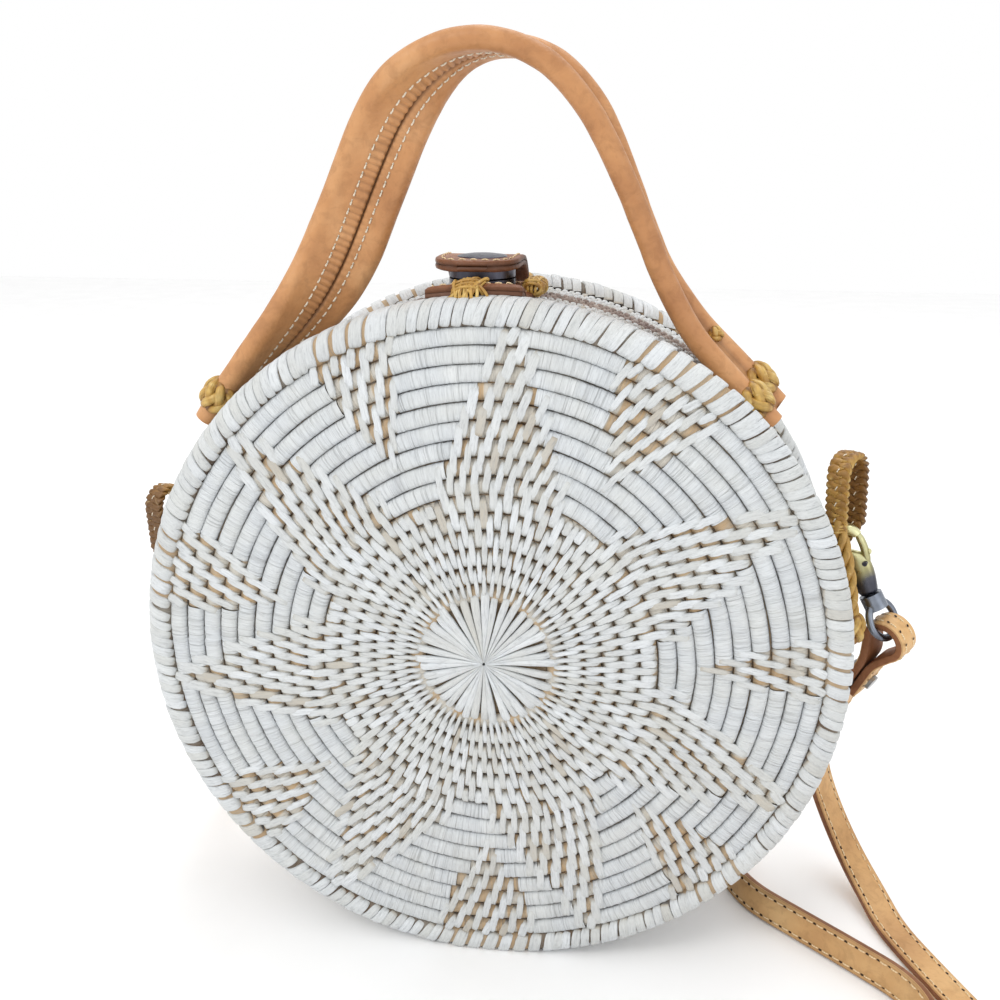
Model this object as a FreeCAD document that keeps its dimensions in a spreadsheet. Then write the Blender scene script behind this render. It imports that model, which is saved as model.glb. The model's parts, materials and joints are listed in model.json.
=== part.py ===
"""Round woven shoulder bag: two coiled half shells hinged at the bottom, a
leather carry handle, a leather snap closure, and a clip-on shoulder strap.

Frame: +X to the right, +Y to the back, +Z up, millimetres.  The origin is on
the floor under the middle of the bag, which stands on the flats of its rims.
"""
import FreeCAD
import Part
import Sketcher
import math
import os

V = FreeCAD.Vector
doc = FreeCAD.newDocument("circle_bag")
sheet = doc.addObject("Spreadsheet::Sheet", "dims")

# ---------------------------------------------------------------- dimensions
DIMS = [
    ("rim_radius", 100.0), ("flat_half", 16.0), ("centre_z", 98.712),
    ("wall_radius", 97.5), ("inner_radius", 92.5), ("rim_depth", 31.0),
    ("rim_band", 8.0), ("rim_round", 3.5), ("dome_rise", 3.3),
    ("panel_thick", 5.0), ("panel_radius", 93.0),
    ("seam_depth", 7.25), ("seam_half_gap", 0.25), ("lining_thick", 0.8),
    ("lining_radius", 92.4), ("lining_hem", 6.0),
    ("hinge_height", 5.6), ("ring_major", 3.7), ("ring_minor", 1.1),
    ("ring_room", 0.4), ("hinge_x", 15.0), ("ring_pitch", 2.4),
    ("groove_half", 34.0),
    ("closure_x", -4.0), ("base_half", 14.5), ("base_thick", 2.5),
    ("snap_radius", 9.0), ("snap_depth", -9.0), ("socket_top", 201.6),
    ("socket_height", 4.2), ("snap_gap", 0.45), ("stud_height", 2.4),
    ("flap_half", 12.5), ("flap_thick", 2.8), ("cap_radius", 7.0),
    ("cap_height", 1.5), ("flap_axis_depth", 11.0), ("flap_axis_height", 198.4),
    ("roll_radius", 3.1), ("roll_front", -15.2), ("roll_rear", 0.2),
    ("web_thick", 2.0), ("core_radius", 2.0), ("swing_height", 199.0),
    ("swing_depth", -7.5), ("swing_radius", 12.2), ("swing_room", 0.6),
    ("arch_radius", 30.2), ("arch_centre", 230.8), ("leg_angle", 66.0),
    ("end_angle", 43.0), ("tip_x", 74.7), ("tip_z", 166.7), ("leg_bend", 70.0),
    ("left_reach", 10.0),
    ("loop_width", 5.2), ("loop_band", 2.6), ("loop_outer", 7.0),
    ("loop_straight", 13.8), ("loop_stem", 29.2), ("loop_yaw", 20.0),
    ("loop_x", 100.55), ("loop_z", 127.5), ("loop_lean", 10.0), ("loop_tuck", 2.2), ("claw_outer", 6.0), ("claw_hole", 3.8),
    ("claw_thick", 4.4), ("barrel_radius", 3.3), ("eye_major", 5.4),
    ("eye_wire", 1.1), ("strap_width", 10.0), ("strap_thick", 3.0),
    ("fold_hole", 4.2), ("fold_tail", 24.0), ("rivet_radius", 2.4),
    ("pin_radius", 0.7), ("tube_radius", 3.1),
]
VALUES = {}
for i, (alias, value) in enumerate(DIMS, 1):
    sheet.set("A%d" % i, alias)
    sheet.set("B%d" % i, str(value))
    sheet.setAlias("B%d" % i, alias)
    VALUES[alias] = float(value)
doc.recompute()


class Dim:
    """A number together with the sheet expression that drives it."""

    def __init__(self, value, text):
        self.v, self.e = float(value), text

    @staticmethod
    def of(x):
        return x if isinstance(x, Dim) else Dim(x, "(%.6f)" % x)

    def __add__(self, o):
        o = Dim.of(o)
        return Dim(self.v + o.v, "(%s + %s)" % (self.e, o.e))

    __radd__ = __add__

    def __sub__(self, o):
        o = Dim.of(o)
        return Dim(self.v - o.v, "(%s - %s)" % (self.e, o.e))

    def __rsub__(self, o):
        return Dim.of(o) - self

    def __mul__(self, o):
        o = Dim.of(o)
        return Dim(self.v * o.v, "(%s * %s)" % (self.e, o.e))

    __rmul__ = __mul__

    def __neg__(self):
        return Dim(-self.v, "(0 - %s)" % self.e)


def d(name):
    return Dim(VALUES[name], "dims." + name)


def val(name):
    return float(sheet.get(name))


NODES = {}


def node(name, obj):
    obj.Label = name
    NODES[name] = obj
    return obj


# ------------------------------------------------------------------ helpers
def prim(kind, name, **props):
    o = doc.addObject("Part::" + kind, name)
    for k, v in props.items():
        if isinstance(v, Dim):
            setattr(o, k, v.v)
            o.setExpression(k, v.e)
        else:
            setattr(o, k, v)
    return o


def place(o, x, y, z, rot=None):
    xs = [Dim.of(c) for c in (x, y, z)]
    o.Placement = FreeCAD.Placement(
        V(*[c.v for c in xs]), rot if rot is not None else FreeCAD.Rotation()
    )
    for axis, c in zip("xyz", xs):
        if "dims." in c.e:
            o.setExpression("Placement.Base." + axis, c.e)
    return o


ALONG_Y = FreeCAD.Rotation(V(1, 0, 0), -90)
ALONG_X = FreeCAD.Rotation(V(0, 1, 0), 90)


def cut(name, base, tool):
    o = doc.addObject("Part::Cut", name)
    o.Base, o.Tool = base, tool
    return o


def common(name, a, b):
    o = doc.addObject("Part::Common", name)
    o.Base, o.Tool = a, b
    return o


def fuse(name, *shapes):
    o = doc.addObject("Part::MultiFuse", name)
    o.Shapes = list(shapes)
    o.Refine = True
    return o


def group(name, *shapes):
    o = doc.addObject("Part::Compound", name)
    o.Links = list(shapes)
    return o


def outline(sk, pts):
    """Closed outline of lines and arcs.  Each entry is (x, y) or
    (x, y, radius, way), where radius and way shape the edge that leaves it."""
    n = len(pts)
    pts = [(Dim.of(p[0]), Dim.of(p[1])) + tuple(p[2:]) for p in pts]
    for i, p in enumerate(pts):
        q = pts[(i + 1) % n]
        a, b = V(p[0].v, p[1].v, 0), V(q[0].v, q[1].v, 0)
        if len(p) == 2:
            sk.addGeometry(Part.LineSegment(a, b), False)
        else:
            r, way = Dim.of(p[2]).v, p[3]
            mid, half = (a + b) * 0.5, (b - a) * 0.5
            side = V(-half.y, half.x, 0).normalize() * way
            reach = math.sqrt(max(r * r - half.Length ** 2, 0.0))
            c = mid + side * reach
            bulge = c - side * r
            sk.addGeometry(Part.Arc(a, bulge, b), False)
    ends = []
    for i, p in enumerate(pts):
        if len(p) == 2:
            ends.append((1, 2))
        else:
            q = pts[(i + 1) % n]
            g = sk.Geometry[i]
            near = (g.StartPoint - V(p[0].v, p[1].v, 0)).Length < 1e-6
            ends.append((1, 2) if near else (2, 1))
    for i in range(n):
        j = (i + 1) % n
        sk.addConstraint(
            Sketcher.Constraint("Coincident", i, ends[i][1], j, ends[j][0])
        )
    for i, p in enumerate(pts):
        for kind, c, axis in (("DistanceX", p[0], -2), ("DistanceY", p[1], -1)):
            if abs(c.v) < 1e-9:
                sk.addConstraint(
                    Sketcher.Constraint("PointOnObject", i, ends[i][0], axis)
                )
                continue
            k = sk.addConstraint(
                Sketcher.Constraint(kind, i, ends[i][0], c.v)
            )
            if "dims." in c.e:
                sk.setExpression("Constraints[%d]" % k, c.e)
        if len(p) > 2:
            r = Dim.of(p[2])
            k = sk.addConstraint(Sketcher.Constraint("Radius", i, r.v))
            if "dims." in r.e:
                sk.setExpression("Constraints[%d]" % k, r.e)


def new_body(name, role, pts):
    body = doc.addObject("PartDesign::Body", name + "_body")
    sk = body.newObject("Sketcher::SketchObject", name + "_profile")
    plane = [f for f in body.Origin.OriginFeatures if f.Role == role][0]
    sk.AttachmentSupport = [(plane, "")]
    sk.MapMode = "FlatFace"
    outline(sk, pts)
    return body, sk


def turned(name, pts, z=None):
    """A ring or disc turned about the bag's own axis, which runs along Y."""
    body, sk = new_body(name, "XY_Plane", pts)
    rev = body.newObject("PartDesign::Revolution", name + "_turn")
    rev.Profile = sk
    rev.ReferenceAxis = (sk, ["V_Axis"])
    rev.Angle = 360.0
    place(body, 0, 0, d("centre_z") if z is None else z)
    doc.recompute()
    return body


def padded_plate(name, role, pts, length):
    """A plate of the given outline, as thick on both sides of its plane."""
    body, sk = new_body(name, role, pts)
    pad = body.newObject("PartDesign::Pad", name + "_pad")
    pad.Profile = sk
    length = Dim.of(length)
    pad.Length = length.v
    if "dims." in length.e:
        pad.setExpression("Length", length.e)
    pad.Midplane = True
    doc.recompute()
    return body, pad


def rounded(name, sx, sy, sz, r, x, y, z, rot=None):
    """A small wrapped lump: a block with every edge rounded."""
    box = prim("Box", name + "_block", Length=sx, Width=sy, Height=sz)
    box.Placement = FreeCAD.Placement(V(-sx / 2, -sy / 2, -sz / 2), FreeCAD.Rotation())
    doc.recompute()
    fl = doc.addObject("Part::Fillet", name + "_round")
    fl.Base = box
    fl.Edges = [(i + 1, r, r) for i in range(12)]
    place(fl, x, y, z, rot)
    return fl


# ------------------------------------------------------------- woven shells
R, W, I = d("rim_radius"), d("wall_radius"), d("inner_radius")
D, B = d("rim_depth"), d("rim_band")
rr = d("rim_round")


def shell(name, sign, mouth):
    pts = [
        (I, sign * D), (R - rr, sign * D, rr, sign * -1), (R, sign * (D - rr)),
        (R, sign * (D - B)), (W, sign * (D - B - 2.0)), (W, mouth), (I, mouth),
    ]
    if sign < 0:
        pts = [
            (I, -D), (R - rr, -D, rr, 1), (R, -(D - rr)), (R, -(D - B)),
            (W, -(D - B - 2.0)), (W, mouth), (I, mouth),
        ]
    return turned(name, pts)


front_ring = shell("front_wall", -1, d("seam_depth") - d("seam_half_gap"))
rear_ring = shell("rear_wall", 1, d("seam_depth") + d("seam_half_gap"))

# the flats that the bag stands on
floor_cut = prim("Box", "floor_cut", Length=120, Width=120, Height=20)
place(floor_cut, -60, -60, -20)


# hinge room: a groove that opens downwards under the hinge axis
def groove(name, way):
    z0, y0 = d("hinge_height"), d("seam_depth")
    pts = [
        (y0 - way * 3.0, z0), (y0 + way * 0.12, z0),
        (y0 + way * 8.5, z0 - 8.0), (y0 - way * 3.0, z0 - 8.0),
    ]
    body, pad = padded_plate(name, "YZ_Plane", pts, 2 * d("groove_half"))
    return body


front_groove = groove("front_groove", -1)
rear_groove = groove("rear_groove", 1)


def ring_at(name, x, minor):
    o = prim("Torus", name, Radius1=d("ring_major"), Radius2=minor)
    place(o, x, d("seam_depth"), d("hinge_height"), ALONG_X)
    return o


rings, tight, loose = {"left": [], "right": []}, [], []
for side, s in (("left", -1), ("right", 1)):
    for k in (-1, 0, 1):
        x = s * d("hinge_x") + k * d("ring_pitch")
        tag = "%s_%d" % (side, k + 1)
        rings[side].append(ring_at("lash_" + tag, x, d("ring_minor")))
        tight.append(ring_at("lash_seat_" + tag, x, d("ring_minor") + 0.04))
        loose.append(
            ring_at("lash_room_" + tag, x, d("ring_minor") + d("ring_room"))
        )
node("hinge_lashing_left", group("lashing_left", *rings["left"]))
node("hinge_lashing_right", group("lashing_right", *rings["right"]))

rear_floor = prim("Box", "rear_floor_cut", Length=120, Width=120, Height=20)
place(rear_floor, -60, -60, -20)


def cut_all(name, base, tools):
    o = base
    for k, t in enumerate(tools):
        o = cut("%s_%d" % (name, k), o, t)
    return o


node(
    "front_wall",
    cut_all("front_wall_cut", front_ring, [floor_cut, front_groove] + tight),
)
node(
    "rear_wall",
    cut_all("rear_wall_cut", rear_ring, [rear_floor, rear_groove] + loose),
)


def panel(name, sign):
    """A shallow dome, drawn as four straight steps from the hub to the rim."""
    p, t, h = d("panel_radius"), d("panel_thick"), d("dome_rise")
    steps = [(k * 0.25, 1.0 - (k * 0.25) ** 2) for k in range(5)]
    pts = [(p * u, sign * (D + h * w)) for u, w in steps]
    pts += [(p * u, sign * (D - t + h * w)) for u, w in reversed(steps)]
    return turned(name, pts)


node("front_panel", panel("front_panel", -1))
node("rear_panel", panel("rear_panel", 1))

# cloth linings: a disc behind each panel with a band up the wall
LR, LT, LH = d("lining_radius"), d("lining_thick"), d("lining_hem")
back = D - d("panel_thick") - 0.05
node("front_lining", turned("front_lining", [
    (0, -back), (LR, -back), (LR, d("seam_depth") - LH),
    (LR - LT, d("seam_depth") - LH), (LR - LT, -(back - LT)), (0, -(back - LT)),
]))
node("rear_lining", turned("rear_lining", [
    (0, back), (LR, back), (LR, d("seam_depth") + LH),
    (LR - LT, d("seam_depth") + LH), (LR - LT, back - LT), (0, back - LT),
]))

# ------------------------------------------------------------- snap closure
cx = d("closure_x")
outer = prim("Cylinder", "base_outer", Radius=W + d("base_thick") + 0.05, Height=28.0)
inner = prim("Cylinder", "base_inner", Radius=W + 0.05, Height=40.0)
place(outer, 0, -22.4, d("centre_z"), ALONG_Y)
place(inner, 0, -30.0, d("centre_z"), ALONG_Y)
base_box = prim(
    "Box", "base_block", Length=2 * d("base_half"), Width=28.0, Height=30.0
)
place(base_box, cx - d("base_half"), -22.4, d("centre_z") + 85.0)
doc.recompute()
base_round = doc.addObject("Part::Fillet", "base_round")
base_round.Base = base_box
base_round.Edges = [
    (i + 1, 5.0, 5.0)
    for i, e in enumerate(base_box.Shape.Edges)
    if abs(e.tangentAt(e.FirstParameter).z) > 0.9
]
node("closure_base", common("closure_base_cut", cut("base_ring", outer, inner), base_round))

socket = prim("Cylinder", "socket_disc", Radius=d("snap_radius"), Height=d("socket_height"))
place(socket, cx, d("snap_depth"), d("socket_top") - d("socket_height"))
dimple = prim("Cylinder", "socket_dimple", Radius=2.6, Height=1.6)
place(dimple, cx, d("snap_depth"), d("socket_top") - 1.5)
magnet = prim("Cylinder", "magnet_disc", Radius=6.5, Height=1.3)
place(magnet, cx, d("snap_depth"), d("socket_top") - 3.4)
node("snap_socket", cut("socket_body", cut("socket_open", socket, dimple), magnet))
node("snap_magnet", magnet)

stud_z = d("socket_top") + d("snap_gap")
stud = prim("Cylinder", "stud_disc", Radius=d("snap_radius"), Height=d("stud_height"))
place(stud, cx, d("snap_depth"), stud_z)
nub = prim("Cylinder", "stud_nub", Radius=2.1, Height=1.4)
place(nub, cx, d("snap_depth"), stud_z - 1.2)
node("snap_stud", fuse("stud_body", stud, nub))

flap_z = stud_z + d("stud_height")
ay, az = d("flap_axis_depth"), d("flap_axis_height")
ft = d("flap_thick")
flap_body, flap_pad = padded_plate(
    "closure_flap", "YZ_Plane",
    [
        (-21.5, flap_z), (1.0, flap_z), (ay - 1.3, az - 0.75),
        (ay + 0.6, az - 1.15, 1.3, 1), (ay + 0.6, az + 1.15),
        (ay - 0.1, az + 1.4), (2.4, flap_z + ft), (-21.5, flap_z + ft),
    ],
    2 * d("flap_half"),
)
place(flap_body, cx, 0, 0)
doc.recompute()
flap_round = flap_body.newObject("PartDesign::Fillet", "flap_round")
flap_round.Base = (
    flap_pad,
    [
        "Edge%d" % (i + 1)
        for i, e in enumerate(flap_pad.Shape.Edges)
        if abs(e.tangentAt(e.FirstParameter).z) > 0.95
        and all(v.Point.y < -21.0 for v in e.Vertexes)
    ],
)
flap_round.Radius = 8.0
doc.recompute()
node("closure_flap", flap_body)
cap = prim("Cylinder", "cap_disc", Radius=d("cap_radius"), Height=d("cap_height"))
place(cap, cx, d("snap_depth"), flap_z + ft)
doc.recompute()
cap_round = doc.addObject("Part::Fillet", "cap_round")
cap_round.Base = cap
cap_round.Edges = [
    (i + 1, 0.9, 0.9)
    for i, e in enumerate(cap.Shape.Edges)
    if min(v.Point.z for v in e.Vertexes) > flap_z.v + ft.v + 0.5
    and e.Closed
]
node("snap_cap", cap_round)

# the flap's sewn root on the back half
root_outer = prim("Cylinder", "root_outer", Radius=W + 2.25, Height=9.0)
root_inner = prim("Cylinder", "root_inner", Radius=W + 0.02, Height=20.0)
place(root_outer, 0, ay + 2.3, d("centre_z"), ALONG_Y)
place(root_inner, 0, ay, d("centre_z"), ALONG_Y)
root_box = prim("Box", "root_block", Length=2 * d("flap_half"), Width=9.0, Height=30.0)
place(root_box, cx - d("flap_half"), ay + 2.3, d("centre_z") + 85.0)
node("flap_root", common("flap_root_cut", cut("root_ring", root_outer, root_inner), root_box))

node("closure_tie_front", rounded("tie_front", 8.0, 6.0, 4.6, 1.6, -7.0, -21.6, 200.2))
node("closure_tie_side", rounded("tie_side", 5.0, 9.0, 4.4, 1.6, 11.0, -9.5, 199.6))
node("flap_root_ties", group(
    "root_ties",
    rounded("root_tie_a", 5.0, 6.4, 4.0, 1.5, -12.6, 18.0, 198.0),
    rounded("root_tie_b", 5.0, 6.4, 4.0, 1.5, 4.6, 18.0, 198.4),
))

# -------------------------------------------------------------- carry handle
la, ea = math.radians(val("leg_angle")), math.radians(val("end_angle"))
leg_dir, end_dir = V(-math.cos(la), 0, math.sin(la)), V(-math.cos(ea), 0, math.sin(ea))
arch_r, arch_c = val("arch_radius"), V(0, 0, val("arch_centre"))
touch = arch_c + V(math.sin(la), 0, math.cos(la)) * arch_r
tip = V(val("tip_x"), 0, val("tip_z"))
# corner where the end line meets the leg line
det = end_dir.x * leg_dir.z - end_dir.z * leg_dir.x
gap_v = touch - tip
run = (gap_v.x * leg_dir.z - gap_v.z * leg_dir.x) / det
corner = tip + end_dir * run
turn = la - ea
back_off = val("leg_bend") * math.tan(turn / 2)
bend_a, bend_b = corner - end_dir * back_off, corner + leg_dir * back_off
to_mid = (leg_dir - end_dir).normalize()
bend_m = corner + to_mid * (val("leg_bend") / math.cos(turn / 2) - val("leg_bend"))


def flip(p):
    return V(-p.x, p.y, p.z)


# the left end reaches further down the wall than the right one
reach_l = flip(end_dir) * -val("left_reach")
tip_l = flip(tip) + reach_l


def handle_path(depth):
    at = V(0, depth, 0)
    top = arch_c + V(0, 0, arch_r)
    edges = [
        Part.LineSegment(tip + at, bend_a + at).toShape(),
        Part.Arc(bend_a + at, bend_m + at, bend_b + at).toShape(),
        Part.LineSegment(bend_b + at, touch + at).toShape(),
        Part.Arc(touch + at, top + at, flip(touch) + at).toShape(),
        Part.LineSegment(flip(touch) + at, flip(bend_b) + at).toShape(),
        Part.Arc(flip(bend_b) + at, flip(bend_m) + at, flip(bend_a) + at).toShape(),
        Part.LineSegment(flip(bend_a) + at, tip_l + at).toShape(),
    ]
    return Part.Wire(edges)


def swept(name, depth, radius):
    """A round roll along the handle's line at the given depth."""
    wire = handle_path(depth)
    ring = Part.Wire([Part.Circle(tip + V(0, depth, 0), end_dir, radius).toShape()])
    o = doc.addObject("Part::Feature", name)
    o.Shape = wire.makePipeShell([ring], True, False)
    return o


def web(name):
    """The flat strip of leather between the two rolls, nearer the inside."""
    y0, y1 = val("roll_front"), val("roll_rear")
    side = end_dir.cross(V(0, 1, 0)).normalize()
    if side.z > 0:
        side = side * -1
    mid = tip + side * 1.0
    h = side * (val("web_thick") / 2)
    c = [mid + V(0, y0, 0) - h, mid + V(0, y1, 0) - h, mid + V(0, y1, 0) + h, mid + V(0, y0, 0) + h]
    ring = Part.makePolygon(c + [c[0]])
    o = doc.addObject("Part::Feature", name)
    o.Shape = handle_path((y0 + y1) / 2).makePipeShell([ring], True, False)
    return o


leather = fuse(
    "handle_leather",
    swept("roll_front_sweep", val("roll_front"), val("roll_radius")),
    swept("roll_rear_sweep", val("roll_rear"), val("roll_radius")),
    web("handle_web"),
)


def swing_zone(name, extra):
    above = prim("Box", name + "_above", Length=200, Width=80, Height=120)
    place(above, -100, -50, d("swing_height"))
    drum = prim("Cylinder", name + "_drum", Radius=d("swing_radius") + extra, Height=200)
    place(drum, -100, d("swing_depth"), d("swing_height"), ALONG_X)
    return fuse(name, above, drum)


grip_solid = common("grip_cut", leather, swing_zone("grip_zone", 0.0))
stub_solid = cut("stub_cut", leather, swing_zone("stub_zone", val("swing_room")))
core_zone = prim("Box", "core_zone", Length=200, Width=80, Height=120)
place(core_zone, -100, -50, d("swing_height") + 5.0)
core_f = common("core_front_cut", swept("core_front_sweep", val("roll_front"), val("core_radius")), core_zone)
core_r = common("core_rear_cut", swept("core_rear_sweep", val("roll_rear"), val("core_radius")), core_zone)
node("handle_core_front", core_f)
node("handle_core_rear", core_r)
node("handle_grip", cut("grip_hollow_b", cut("grip_hollow_a", grip_solid, core_f), core_r))
left_half = prim("Box", "left_half", Length=120, Width=120, Height=200)
place(left_half, -120, -70, 100)
right_half = prim("Box", "right_half", Length=120, Width=120, Height=200)
place(right_half, 0, -70, 100)
node("handle_end_left", common("handle_end_left_cut", stub_solid, left_half))
node("handle_end_right", common("handle_end_right_cut", stub_solid, right_half))

# woven knots that tie the four roll ends down
knot_at = tip + end_dir * 6.5


def knot(name, s, depth, lift):
    rot = FreeCAD.Rotation(V(0, 1, 0), s * val("end_angle"))
    out = V(s * math.sin(ea), 0, math.cos(ea)) * lift
    at = V(s * knot_at.x, depth, knot_at.z) + out
    if s < 0:
        at = at + reach_l
    return rounded(name, 9.0, 9.8, 8.6, 2.2, at.x, at.y, at.z, rot)


for side, s in (("left", -1), ("right", 1)):
    node("handle_ties_" + side, group(
        "handle_ties_%s_pair" % side,
        knot("tie_%s_front" % side, s, val("roll_front") + 0.6, 1.3),
        knot("tie_%s_rear" % side, s, val("roll_rear") - 0.6, 1.3),
    ))

# ------------------------------------------------- woven loops for the strap
def frame(at, x_axis, y_axis, z_axis):
    """A placement from an origin and three axes at right angles."""
    m = FreeCAD.Matrix(
        x_axis.x, y_axis.x, z_axis.x, at.x,
        x_axis.y, y_axis.y, z_axis.y, at.y,
        x_axis.z, y_axis.z, z_axis.z, at.z,
        0, 0, 0, 1,
    )
    return FreeCAD.Placement(m)


def strap_loop(name, where):
    """A long ring of flat braid in its local YZ plane.  The bottom of the ring
    is at the origin, and the leg on the -Y side runs on down to the wall."""
    ro, st = val("loop_outer"), val("loop_straight")
    ri = ro - val("loop_band")
    low = ro - val("loop_band") / 2

    def stadium(tag, r, width):
        caps = []
        for k, z in enumerate((low, low + st)):
            c = prim("Cylinder", "%s_%s_cap%d" % (name, tag, k), Radius=r, Height=width)
            c.Placement = FreeCAD.Placement(V(-Dim.of(width).v / 2, 0, z), ALONG_X)
            caps.append(c)
        mid = prim("Box", "%s_%s_mid" % (name, tag), Length=width, Width=2 * r, Height=st)
        mid.Placement = FreeCAD.Placement(V(-Dim.of(width).v / 2, -r, low), FreeCAD.Rotation())
        return fuse("%s_%s" % (name, tag), mid, *caps)

    big = stadium("outside", ro, d("loop_width"))
    small = stadium("inside", ri, d("loop_width") + 4.0)
    ring = cut(name + "_open", big, small)
    thin = []
    for tag, x in (("a", 1.4), ("b", -11.4)):
        box = prim("Box", name + "_thin_" + tag, Length=10.0, Width=8.6, Height=6.0)
        box.Placement = FreeCAD.Placement(V(x, -4.3, -2.0), FreeCAD.Rotation())
        thin.append(box)
    stem = prim("Box", name + "_stem", Length=d("loop_width"), Width=d("loop_band"), Height=d("loop_stem"))
    stem.Placement = FreeCAD.Placement(
        V(-val("loop_width") / 2, -ro, low - val("loop_stem")), FreeCAD.Rotation()
    )
    o = fuse(name + "_joined", cut_all(name + "_thinned", ring, thin), stem)
    o.Placement = where
    return o


UP = V(0, 0, 1)
yaw_dir = math.radians(val("loop_yaw"))
side_r = V(math.sin(yaw_dir), math.cos(yaw_dir), 0)
out_r = V(math.cos(yaw_dir), -math.sin(yaw_dir), 0)
# the right loop leans in over the wall, the left one stands off it
tuck = math.radians(val("loop_tuck"))
up_r = UP * math.cos(tuck) - out_r * math.sin(tuck)
foot_r = V(val("loop_x"), 0.36, val("loop_z") - 23.5)
ring_r = foot_r + up_r * 23.5
node("strap_loop_right", strap_loop("loop_right", frame(ring_r, side_r.cross(up_r), side_r, up_r)))
lean = math.radians(val("loop_lean"))
side_l, out_l = side_r * -1, out_r * -1
up_l = UP * math.cos(lean) + out_l * math.sin(lean)
outer_l = side_l.cross(up_l)
foot_l = V(-val("loop_x"), -0.36, val("loop_z") - 39.5)
ring_l = foot_l + up_l * 23.5
node("strap_loop_left", strap_loop("loop_left", frame(ring_l, outer_l, side_l, up_l)))
node("loop_tie_right", rounded("loop_tie_r", 5.2, 4.8, 8.4, 1.8, 100.2, -7.3, 104.2))
node("loop_tie_left", rounded("loop_tie_l", 5.2, 4.8, 8.4, 1.8, -100.1, 7.5, 89.5))

# --------------------------------------------------------------- strap clips
CLAW = d("claw_outer")


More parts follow.
